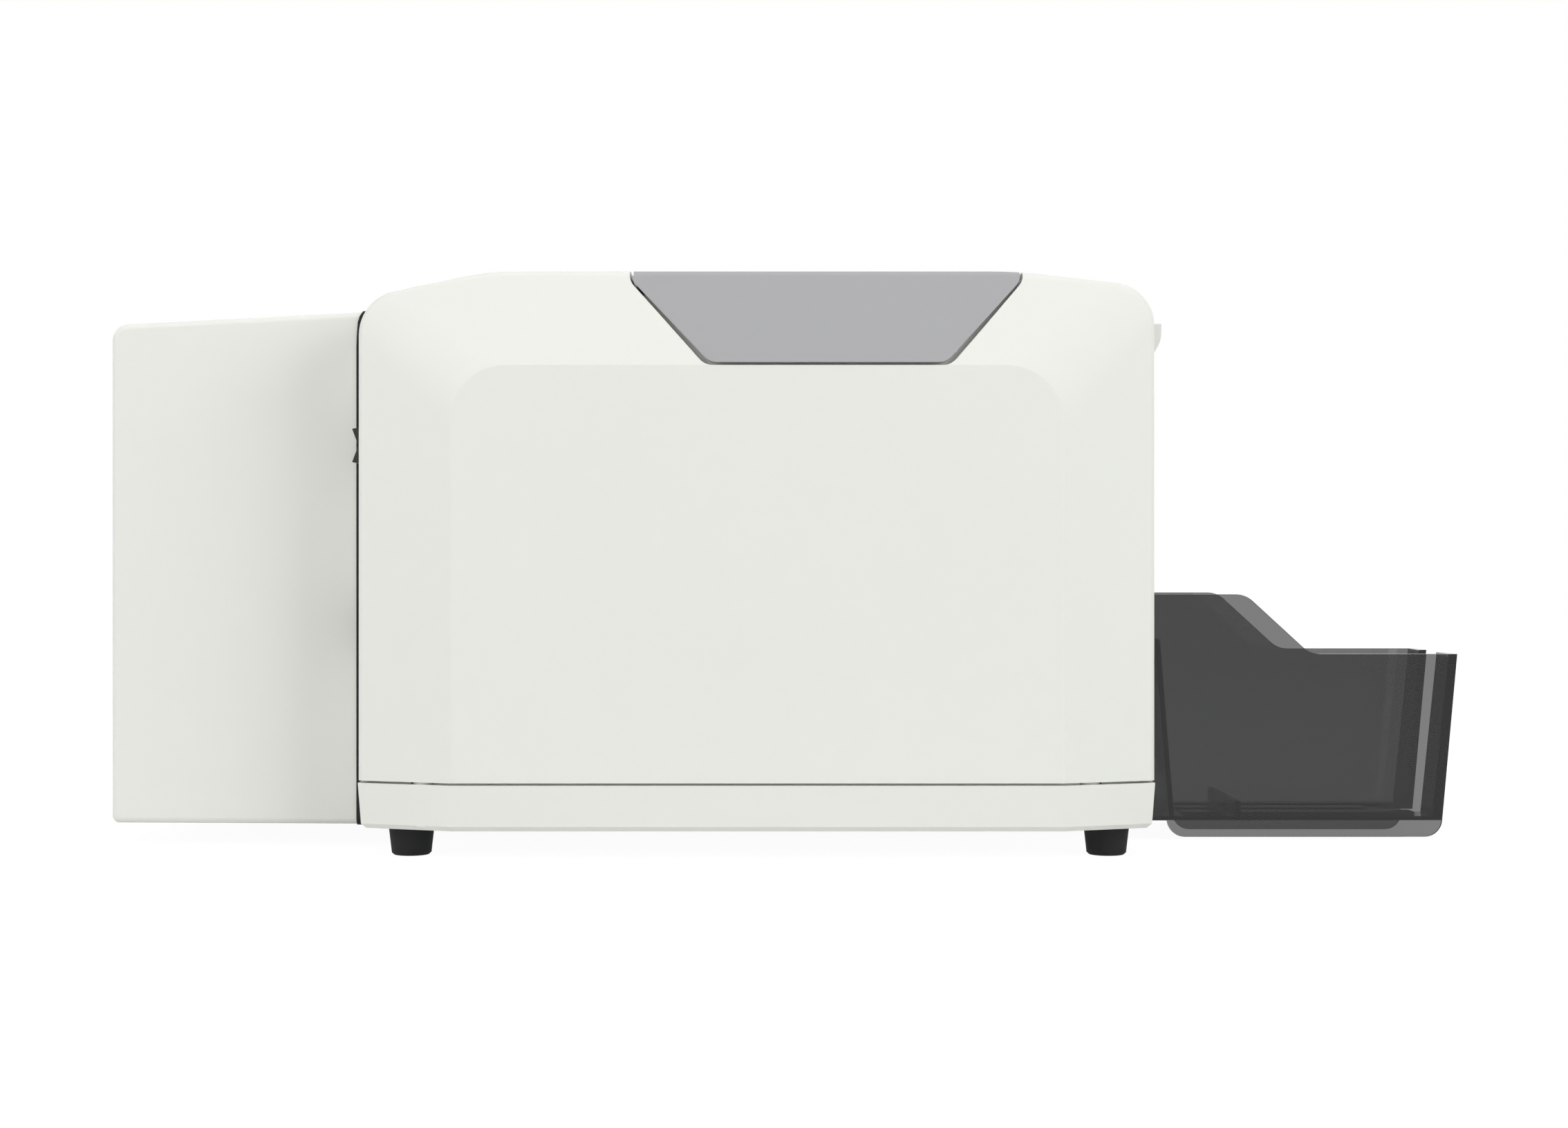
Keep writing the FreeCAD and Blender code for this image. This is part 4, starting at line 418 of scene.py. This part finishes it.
# a filled outline, extruded along one axis
def slab(name, outline, axis, low, high):
    clearSelection()
    bpy.ops.mesh.primitive_circle_add(vertices=len(outline), fill_type="NGON")
    piece = bpy.context.object
    piece.name = name
    spots = {"X": lambda a, b: (low, a, b), "Y": lambda a, b: (a, low, b), "Z": lambda a, b: (a, b, low)}
    for vertex, (a, b) in zip(piece.data.vertices, outline):
        vertex.co = Vector(spots[axis](a, b)) * mm
    editAll(piece)
    move = [(high - low) * mm if letter == axis else 0 for letter in "XYZ"]
    bpy.ops.mesh.extrude_region_move(TRANSFORM_OT_translate={"value": move})
    leaveEdit()
    outward(piece)
    return piece


def brick(name, *spans):
    clearSelection()
    bpy.ops.mesh.primitive_cube_add(size=1)
    piece = bpy.context.object
    piece.name = name
    for vertex in piece.data.vertices:
        corner = [span[1 if value > 0 else 0] for value, span in zip(vertex.co, spans)]
        vertex.co = Vector(corner) * mm
    return piece


def rod(name, axis, centre, radius, low, high, sides=48):
    turns = [2 * math.pi * step / sides for step in range(sides)]
    outline = [(centre[0] + radius * math.cos(turn), centre[1] + radius * math.sin(turn)) for turn in turns]
    return slab(name, outline, axis, low, high)


# the arc that rounds a corner of an outline, or an even stretch where it is straight
def cornerPoints(before, corner, after, radius, spans, reach=None):
    here = Vector(corner)
    into = (here - Vector(before)).normalized()
    away = (Vector(after) - here).normalized()
    turn = math.acos(max(-1, min(1, into.dot(away))))
    reach = reach or radius * math.tan(turn / 2)
    start = here - into * reach
    if turn < straight:
        return [start + into * (2 * reach * step / spans) for step in range(spans + 1)]
    side = (away - into * math.cos(turn)) / math.sin(turn)
    size = reach / math.tan(turn / 2)
    angles = [turn * step / spans for step in range(spans + 1)]
    return [start + into * (size * math.sin(angle)) + side * (size * (1 - math.cos(angle)))
            for angle in angles]


# open outline with rounded corners and a known number of points
def trace(corners, arcSpans, lineSpans):
    points = [Vector(corners[0][:2])]
    for index in range(1, len(corners)):
        corner = corners[index]
        last = index == len(corners) - 1
        arc = [Vector(corner[:2])] if last else cornerPoints(
            corners[index - 1][:2], corner[:2], corners[index + 1][:2], corner[2], arcSpans[index - 1],
            corner[3] if len(corner) > 3 else None)
        start = points[-1]
        count = lineSpans[index - 1]
        points += [start.lerp(arc[0], step / count) for step in range(1, count + 1)]
        points += arc[1:]
    return points


# closed outline, with an arc at each corner that has a radius
def roundedLoop(corners, spans=6):
    points = []
    for index, corner in enumerate(corners):
        before, after = corners[index - 1][:2], corners[(index + 1) % len(corners)][:2]
        rounded = len(corner) > 2
        points += cornerPoints(before, corner[:2], after, corner[2], spans) if rounded else [Vector(corner)]
    return points


copied = {"weld": 0.5 * weld, "flat": 0.5, "steps": 2, "edgeAngle": 30, "smooth": 25}


# the CAD node's form, merged into one closed mesh
def mergedCopy(label, name):
    piece = bpy.data.objects.new(label, nodes[name].data.copy())
    bpy.context.scene.collection.objects.link(piece)
    editAll(piece)
    bpy.ops.mesh.remove_doubles(threshold=copied["weld"])
    bpy.ops.mesh.dissolve_limited(angle_limit=math.radians(copied["flat"]))
    leaveEdit()
    return piece


def settle(piece, name, body=None):
    dress(piece, slotOf[name])
    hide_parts(name)
    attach(piece, body or bodyOf[name])


# edges broken, smoothed, and put in the node's place
def breakEdges(piece, name, width, segments=copied["steps"]):
    if width:
        roundEdges(piece, width, segments, copied["edgeAngle"])
    smooth(piece, copied["smooth"])
    settle(piece, name)


# casing: a raised flat panel on each side, joined to the outer outline by slanted faces
casing = {
    "rear": -162.5, "front": 135.6, "bottom": 29.1, "top": 219.6, "edgeHalf": 90.7, "panelHalf": 102.5,
    "rearSlope": (49.0, 10.1), "frontSlope": (51.9, 5.8), "rearRadius": 16.8, "frontRadius": 16.0,
    "panelRear": -126.0, "panelFront": 100.6, "panelTop": 183.4, "panelRadii": (20.0, 22.0), "panelKink": 4.0,
    "kinkReach": 9.0, "edgeRadius": 3.2, "wall": 2.5, "cutEdge": 0.2, "cutSteps": 2, "edgeAngle": 40,
    "smooth": 12, "arcSpans": (12, 4, 4, 12), "lineSpans": (8, 3, 24, 3, 8), "edgeSpans": 8, "fanSpans": 3,
    "inward": 50,  # any length does, only its direction counts
}


def casingRows(form, bottom):
    top, rear, front = form["top"], form["rear"], form["front"]
    kink = form["kinkReach"]
    outer = trace([(rear, bottom), (rear, top - form["rearSlope"][1], form["rearRadius"]),
                   (rear + form["rearSlope"][0], top, 0, kink), (front - form["frontSlope"][0], top, 0, kink),
                   (front, top - form["frontSlope"][1], form["frontRadius"]), (front, bottom)],
                  form["arcSpans"], form["lineSpans"])
    radii, step = form["panelRadii"], form["panelKink"]
    left, right, high = form["panelRear"], form["panelFront"], form["panelTop"]
    inner = trace([(left, bottom), (left, high, radii[0]), (left + radii[0] + step, high, 0, step / 2),
                   (right - radii[1] - step, high, 0, step / 2), (right, high, radii[1]), (right, bottom)],
                  form["arcSpans"], form["lineSpans"])
    columns = []
    for edge, panel in zip(outer, inner):
        corner = Vector((edge.x, -form["edgeHalf"], edge.y))
        foot = Vector((panel.x, -form["panelHalf"], panel.y))
        far = corner + Vector((0, form["inward"], 0))
        bend = cornerPoints(foot, corner, far, form["edgeRadius"], form["edgeSpans"])
        fan = [foot.lerp(bend[0], share / form["fanSpans"]) for share in range(form["fanSpans"])]
        near = fan + bend
        columns.append(near + [Vector((point.x, -point.y, point.z)) for point in reversed(near)])
    return [list(row) for row in zip(*columns)]


def casingSheet(name, form, bottom, wall):
    piece = gridSheet(name, casingRows(form, bottom))
    for side in (-1, 1):
        limit = side * form["panelHalf"]
        editEdges(piece, lambda a, b: abs(a.y - limit) < close and abs(b.y - limit) < close)
        bpy.ops.mesh.edge_face_add()
        leaveEdit()
    outward(piece)
    thicken(piece, wall)
    return piece


# lid opening: narrow through the wall, with a tapered edge round it in each slanted side
lidForm = {
    "rear": -60.8, "length": 146.9, "low": 140, "rim": 4.0, "rimRadius": 6.0, "rearRake": 28.3,
    "frontRake": 27.4, "radius": 6.4, "gap": 1.1, "slopeGap": 1.9, "lip": 0.25, "slopeLip": 0.4,
    "lipOver": 1.2, "lipDepth": 2.9, "wall": 2.2, "barrelRadius": 2.0, "barrelInset": 2.9, "barrelHalf": 86.5,
    "barrelDrop": 0.1, "reliefDrop": 1, "corner": 1.45, "notch": 6.0, "eye": 64.0, "notchReach": 4.5,
    "pinRadius": 1.08, "pinHalf": 8, "edge": 0.5, "edgeSteps": 3, "toolHeight": 20,
}
ledge = {"near": 3.6, "far": 5.0, "behind": -2.5, "inside": 5.0, "drop": 2.9, "relief": (7.0, 9.0)}
ears = {"width": 5.0, "drop": 7.0, "foot": 16.0, "thick": 2.4, "topGap": 1.25, "sink": 0.1}
posts = {"radius": 5.0, "insetX": 26.0, "half": 92.7, "height": 14.0}
mouths = {"half": 84.2, "floor": 36.1, "radius": 6.0, "reach": 12.0,
          "ends": {"frontMouth": ("front", 207.1), "rearMouth": ("rear", 191.6)}}


def lidOutline(gap, slopeGap, top):
    rear, front = lidForm["rear"], lidForm["rear"] + lidForm["length"]
    rim, low = casing["top"] - lidForm["rim"], casing["panelTop"] + gap
    bend, radius = lidForm["rimRadius"], lidForm["radius"]
    return roundedLoop([
        (rear + gap, top), (rear + gap, rim, bend), (rear + lidForm["rearRake"] + slopeGap, low, radius),
        (front - lidForm["frontRake"] - slopeGap, low, radius), (front - gap, rim, bend), (front - gap, top)])


# a slab that lies along a slanted side, from one depth under it to another, and may narrow inwards
def sideSlab(name, side, wide, narrow, near, far):
    slant = (casing["panelHalf"] - casing["edgeHalf"]) / (casing["top"] - casing["panelTop"])
    piece = slab(name, wide, "Y", near, far)
    for vertex in piece.data.vertices:
        spot = vertex.co / mm
        if spot.y > (near + far) / 2:
            here = Vector((spot.x, spot.z))
            nearest = min(range(len(wide)), key=lambda index: (wide[index] - here).length)
            spot.x, spot.z = narrow[nearest]
        spot.y += slant * (spot.z - casing["panelTop"]) - casing["panelHalf"]
        vertex.co = Vector((spot.x, -side * spot.y, spot.z)) * mm
    outward(piece)
    return piece


def taperTool(side, high):
    lip, slopeLip, out, deep = (lidForm[key] for key in ("lip", "slopeLip", "lipOver", "lipDepth"))
    share = -out / deep
    return sideSlab("taper", side, lidOutline(share * lip, share * slopeLip, high),
                    lidOutline(lip, slopeLip, high), -out, deep)


# the rebate behind the edge of a lid flap
def addLedge(piece, side):
    top, high = casing["top"], casing["top"] + over
    outer = lidOutline(ledge["behind"], ledge["behind"], high)
    inner = lidOutline(ledge["inside"], ledge["inside"], high + 2 * spare)
    ring = sideSlab("ledge", side, outer, outer, ledge["near"], ledge["far"])
    combine(ring, sideSlab("ledgeHole", side, inner, inner, ledge["near"] - spare, ledge["far"] + spare))
    combine(ring, brick("ledgeTrim", through, through, (top - ledge["drop"], high + over)))
    reach, depth = ledge["relief"]  # room for the corner of the lid at its hinge
    relief = brick("hingeRelief", (through[0], lidForm["rear"] + reach), through, (top - depth, high + over))
    combine(ring, relief)
    combine(piece, ring, "UNION")


def lidPivot():
    x = lidForm["rear"] + lidForm["barrelInset"]
    return x, casing["top"] - lidForm["barrelDrop"] - lidForm["barrelRadius"]


# an arm under the casing top, with the eye of the hinge pin at its end
def addEar(piece, side):
    x, z = lidPivot()
    middle, low, radius = side * lidForm["eye"], z - ears["drop"], lidForm["barrelRadius"]
    across = (middle - ears["width"] / 2, middle + ears["width"] / 2)
    start, top = x - radius - ears["foot"], casing["top"] - ears["topGap"]
    combine(piece, brick("arm", (x - radius, x + radius), across, (low, z)), "UNION")
    combine(piece, rod("eye", "Y", (x, z), radius, *across), "UNION")
    shelf = brick("shelf", (start, x - radius + ears["sink"]), across, (low, low + ears["thick"]))
    combine(piece, shelf, "UNION")
    combine(piece, brick("foot", (start, start + ears["foot"] / 2), across, (low, top)), "UNION")
    ends = (across[0] - spare, across[1] + spare)
    combine(piece, rod("eyeBore", "Y", (x, z), lidForm["pinRadius"], *ends, boreSides))


def makeCasing():
    piece = casingSheet("casing", casing, casing["bottom"], casing["wall"])
    high = casing["top"] + over
    combine(piece, slab("lidOpening", lidOutline(lidForm["lip"], lidForm["slopeLip"], high), "Y", *through))
    for side in (-1, 1):
        combine(piece, taperTool(side, high))
    half, floor, bend, reach = (mouths[key] for key in ("half", "floor", "radius", "reach"))
    for name, (key, head) in mouths["ends"].items():
        end = casing[key]
        corners = [(-half, floor), (half, floor), (half, head), (-half, head)]
        mouth = roundedLoop([corner + (bend,) for corner in corners])
        combine(piece, slab(name, mouth, "X", end - reach, end + reach))
    roundEdges(piece, casing["cutEdge"], casing["cutSteps"], casing["edgeAngle"])
    for side in (-1, 1):
        addLedge(piece, side)
    low = casing["bottom"]
    for x in (casing["rear"] + posts["insetX"], casing["front"] - posts["insetX"]):
        for side in (-1, 1):
            post = rod("post", "Z", (x, side * posts["half"]), posts["radius"], low, low + posts["height"])
            combine(piece, post, "UNION")
    for side in (-1, 1):
        addEar(piece, side)
    smooth(piece, casing["smooth"])
    settle(piece, "body_shell")


def makeLid():
    piece = casingSheet("lid", casing, lidForm["low"], lidForm["wall"])
    high, rear = casing["top"] + over, lidForm["rear"]
    blank = slab("lidBlank", lidOutline(lidForm["gap"], lidForm["slopeGap"], high), "Y", *through)
    combine(piece, blank, "INTERSECT")
    x, z = lidPivot()
    half, roof = lidForm["barrelHalf"], z + lidForm["toolHeight"]
    combine(piece, brick("rearRelief", (rear - over, x), (-half, half), (z - lidForm["reliefDrop"], roof)))
    combine(piece, brick("cornerRelief", (rear - over, rear + lidForm["corner"]), through, (z, roof)))
    combine(piece, rod("barrel", "Y", (x, z), lidForm["barrelRadius"], -half, half), "UNION")
    for side in (-1, 1):
        middle, reach, pin = side * lidForm["eye"], lidForm["notch"] / 2, lidForm["pinHalf"]
        across = (middle - reach, middle + reach)
        combine(piece, brick("notch", (rear - over, x + lidForm["notchReach"]), across, (z - over, roof)))
        ends = (middle - pin, middle + pin)
        combine(piece, rod("pinBore", "Y", (x, z), lidForm["pinRadius"], *ends, boreSides))
    roundEdges(piece, lidForm["edge"], lidForm["edgeSteps"], casing["edgeAngle"])
    smooth(piece, casing["smooth"])
    settle(piece, "top_lid")


makeCasing()
makeLid()
print("casing and lid modelled")


# turning module cover: tapered box, open towards the body
flipper = {
    "rear": -265.5, "front": -163.0, "half": 58.0, "taper": 4.5, "low": 9.0, "high": 208.0, "middle": 100,
    "drop": 4.6, "wall": 2.5, "rearTop": 6.2, "rearSteps": 8, "edge": 2.7, "edgeSteps": 6, "edgeAngle": 40,
    "tip": 0.3, "tipSteps": 2, "tipAngle": 60, "smooth": 14, "within": 1, "facing": 0.9,
}


def makeFlipper():
    half, middle = flipper["half"], flipper["middle"]
    rear, front = flipper["rear"] + flipper["within"], flipper["front"] - flipper["within"]
    piece = brick("flipperCover", (flipper["rear"], flipper["front"]), (-half, half),
                  (flipper["low"], flipper["high"]))
    for vertex in piece.data.vertices:
        if vertex.co.x < rear * mm:
            vertex.co.y *= 1 - flipper["taper"] / half
            if vertex.co.z > middle * mm:
                vertex.co.z -= flipper["drop"] * mm
    editEdges(piece, lambda a, b: max(a.x, b.x) < rear and min(a.z, b.z) > middle)
    bpy.ops.mesh.bevel(offset=flipper["rearTop"] * mm, segments=flipper["rearSteps"], affect="EDGES")
    leaveEdit()
    editFaces(piece, lambda centre, normal: centre.x > front and normal.x > flipper["facing"])
    bpy.ops.mesh.delete(type="ONLY_FACE")
    leaveEdit()
    roundEdges(piece, flipper["edge"], flipper["edgeSteps"], flipper["edgeAngle"])
    thicken(piece, flipper["wall"])
    roundEdges(piece, flipper["tip"], flipper["tipSteps"], flipper["tipAngle"])
    smooth(piece, flipper["smooth"])
    settle(piece, "flipper_cover")


makeFlipper()

# painted shade: a dark strip on the cover where it meets the body, standing in for the contact shadow along
# that seam, trimmed to the body's rear corner
shadeStrip = {"rear": -168.95, "skin": 0.3, "gap": 0.03, "radius": 2.9, "trimHalf": 70, "smooth": 25,
        "trim": [(-170, 210), (-166.5, 210), (-166.8, 207.8), (-167.7, 206.0), (-168.4, 203.7),
                 (-168.8, 198.5), (-168.95, 194), (-170, 194)]}


def makeShadeStrip():
    rings = []
    for reach in (shadeStrip["gap"] + shadeStrip["skin"], shadeStrip["gap"]):
        half, low, high = flipper["half"] + reach, flipper["low"] - reach, flipper["high"] + reach
        corners = [(-half, low), (half, low), (half, high), (-half, high)]
        rings.append(roundedLoop([corner + (shadeStrip["radius"],) for corner in corners]))
    piece = slab("shadeStrip", rings[0], "X", shadeStrip["rear"], flipper["front"])
    combine(piece, slab("shadeStripHole", rings[1], "X", shadeStrip["rear"] - spare, flipper["front"] + spare))
    combine(piece, slab("shadeStripTrim", shadeStrip["trim"], "Y", -shadeStrip["trimHalf"], shadeStrip["trimHalf"]))
    smooth(piece, shadeStrip["smooth"])
    # the black rubber finish makes this strip a painted shade line along the seam
    dress(piece, "foot_rubber")
    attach(piece, bodyOf["flipper_cover"])


makeShadeStrip()

# pieces whose CAD form is right: merged, with edges broken by so many mm
softened = {
    "base_pan": 0.8, "feeder_door": 0.8, "front_bezel": 0.4, "rear_panel": 0.3,
    "power_rocker": 0.4, "power_inlet": 0.3, "switch_housing": 0.3, "data_ports": 0.3, "tray_bracket": 0.2,
    "upper_button": 0.4, "middle_button": 0.4, "lower_button": 0.4, "display_lenses": 0.2, "rubber_feet": 0.0,
    "flipper_frame": 0.25,
}
for name, width in softened.items():
    breakEdges(mergedCopy(name + "Piece", name), name, width)
print("softened pieces:", len(softened))

# the tray also has a stand rail under the middle of its floor
rail = {"rear": 157.0, "front": 251.0, "low": 0.8, "high": 8.5, "radius": 6.5, "half": 1.0, "edge": 0.65,
        "steps": 4}


def makeTray():
    piece = mergedCopy("tray", "output_tray")
    rear, front, low, high = rail["rear"], rail["front"], rail["low"], rail["high"]
    outline = roundedLoop([(rear, low, rail["radius"]), (front, low, rail["radius"]), (front, high),
                           (rear, high)])
    combine(piece, slab("rail", outline, "Y", -rail["half"], rail["half"]), "UNION")
    breakEdges(piece, "output_tray", rail["edge"], rail["steps"])


makeTray()
print("turning module, seal and tray modelled")


# pale floor, white surroundings, soft lamps
stage = {
    "floorSize": 30.0, "floorColour": 0.8, "floorGrain": (40, 2.0), "floorTones": (1, 1.02),
    "cameraWhite": 0.955, "farWhite": 1.0, "fade": (0.5, 1.6), "faint": 0.09, "worldLight": 0.08,
    "lampDistance": 4.0,
    # azimuth from the camera side, elevation, width and height, power
    "lamps": {"leftLamp": (-55, 22, (2.6, 2.0), 69.0), "rightLamp": (55, 22, (2.6, 2.0), 77.0),
              "frontLamp": (0, 50, (3.0, 2.0), 8.0), "topLamp": (0, 80, (3.0, 2.0), 66.0),
              "rearLamp": (170, 35, (3.0, 2.0), 70.0)},
}
# the lens follows from a focal length and the photograph's width, both in pixels
camera = {"place": (-0.00315, -0.9625, 0.110), "focalPixels": 3373, "widthPixels": 2268, "sensor": 36,
          "clip": (0.01, 50)}


def makeFloor():
    clearSelection()
    bpy.ops.mesh.primitive_plane_add(size=stage["floorSize"])
    floor = bpy.context.object
    floor.name = "floor"
    make = Finish("floorPaper")
    paper = make.tint(make.noise(*stage["floorGrain"]), (stage["floorColour"],) * 3, stage["floorTones"])
    plain = make.node("BsdfDiffuse", Color=paper)
    faint = make.node("BsdfDiffuse", Color=(stage["faint"],) * 3 + (1,))
    glow = make.node("Emission", Color=white, Strength=stage["cameraWhite"])
    seen = make.node("AddShader", i0=faint, i1=glow)
    away = make.node("VectorMath", {"operation": "LENGTH"}, out="Value", i0=make.place)
    pure = make.node("Emission", Color=white, Strength=stage["farWhite"])  # past the shadow, plain white
    seen = make.node("MixShader", i0=make.ramp(away, *stage["fade"]), i1=seen, i2=pure)
    both = make.node("MixShader", i0=directRay(make.tree), i1=plain, i2=seen)
    floor.data.materials.append(make.finish(both))


def makeWorld():
    world = bpy.data.worlds.new("studio")
    bpy.context.scene.world = world
    world.use_nodes = True
    tree = world.node_tree
    tree.nodes.clear()
    strength = stage["worldLight"] + directRay(tree) * (1 - stage["worldLight"])
    sky = tree.nodes.new("ShaderNodeBackground")
    sky.inputs["Color"].default_value = white
    tree.links.new(strength.socket, sky.inputs["Strength"])
    output = tree.nodes.new("ShaderNodeOutputWorld")
    tree.links.new(sky.outputs[0], output.inputs["Surface"])


def softLamp(name, azimuth, elevation, size, power):
    turn, rise = math.radians(azimuth), math.radians(elevation)
    way = Vector((math.sin(turn) * math.cos(rise), -math.cos(turn) * math.cos(rise), math.sin(rise)))
    bpy.ops.object.light_add(type="AREA", location=way * stage["lampDistance"])
    lamp = bpy.context.object
    lamp.name = name
    lamp.data.shape = "RECTANGLE"
    lamp.data.size, lamp.data.size_y = size
    lamp.data.energy = power
    lamp.visible_glossy = False  # the white surroundings give the reflections
    lamp.visible_transmission = False
    lamp.rotation_euler = way.to_track_quat("Z", "Y").to_euler()


def makeCamera():
    bpy.ops.object.camera_add(location=camera["place"], rotation=(math.pi / 2, 0, 0))
    eye = bpy.context.object
    eye.data.sensor_width = camera["sensor"]
    eye.data.lens = camera["sensor"] * camera["focalPixels"] / camera["widthPixels"]
    eye.data.clip_start, eye.data.clip_end = camera["clip"]
    bpy.context.scene.camera = eye


makeFloor()
makeWorld()
clearSelection()
for name, lamp in stage["lamps"].items():
    softLamp(name, *lamp)
makeCamera()
bpy.context.scene.view_settings.view_transform = "Standard"
print("stage set")
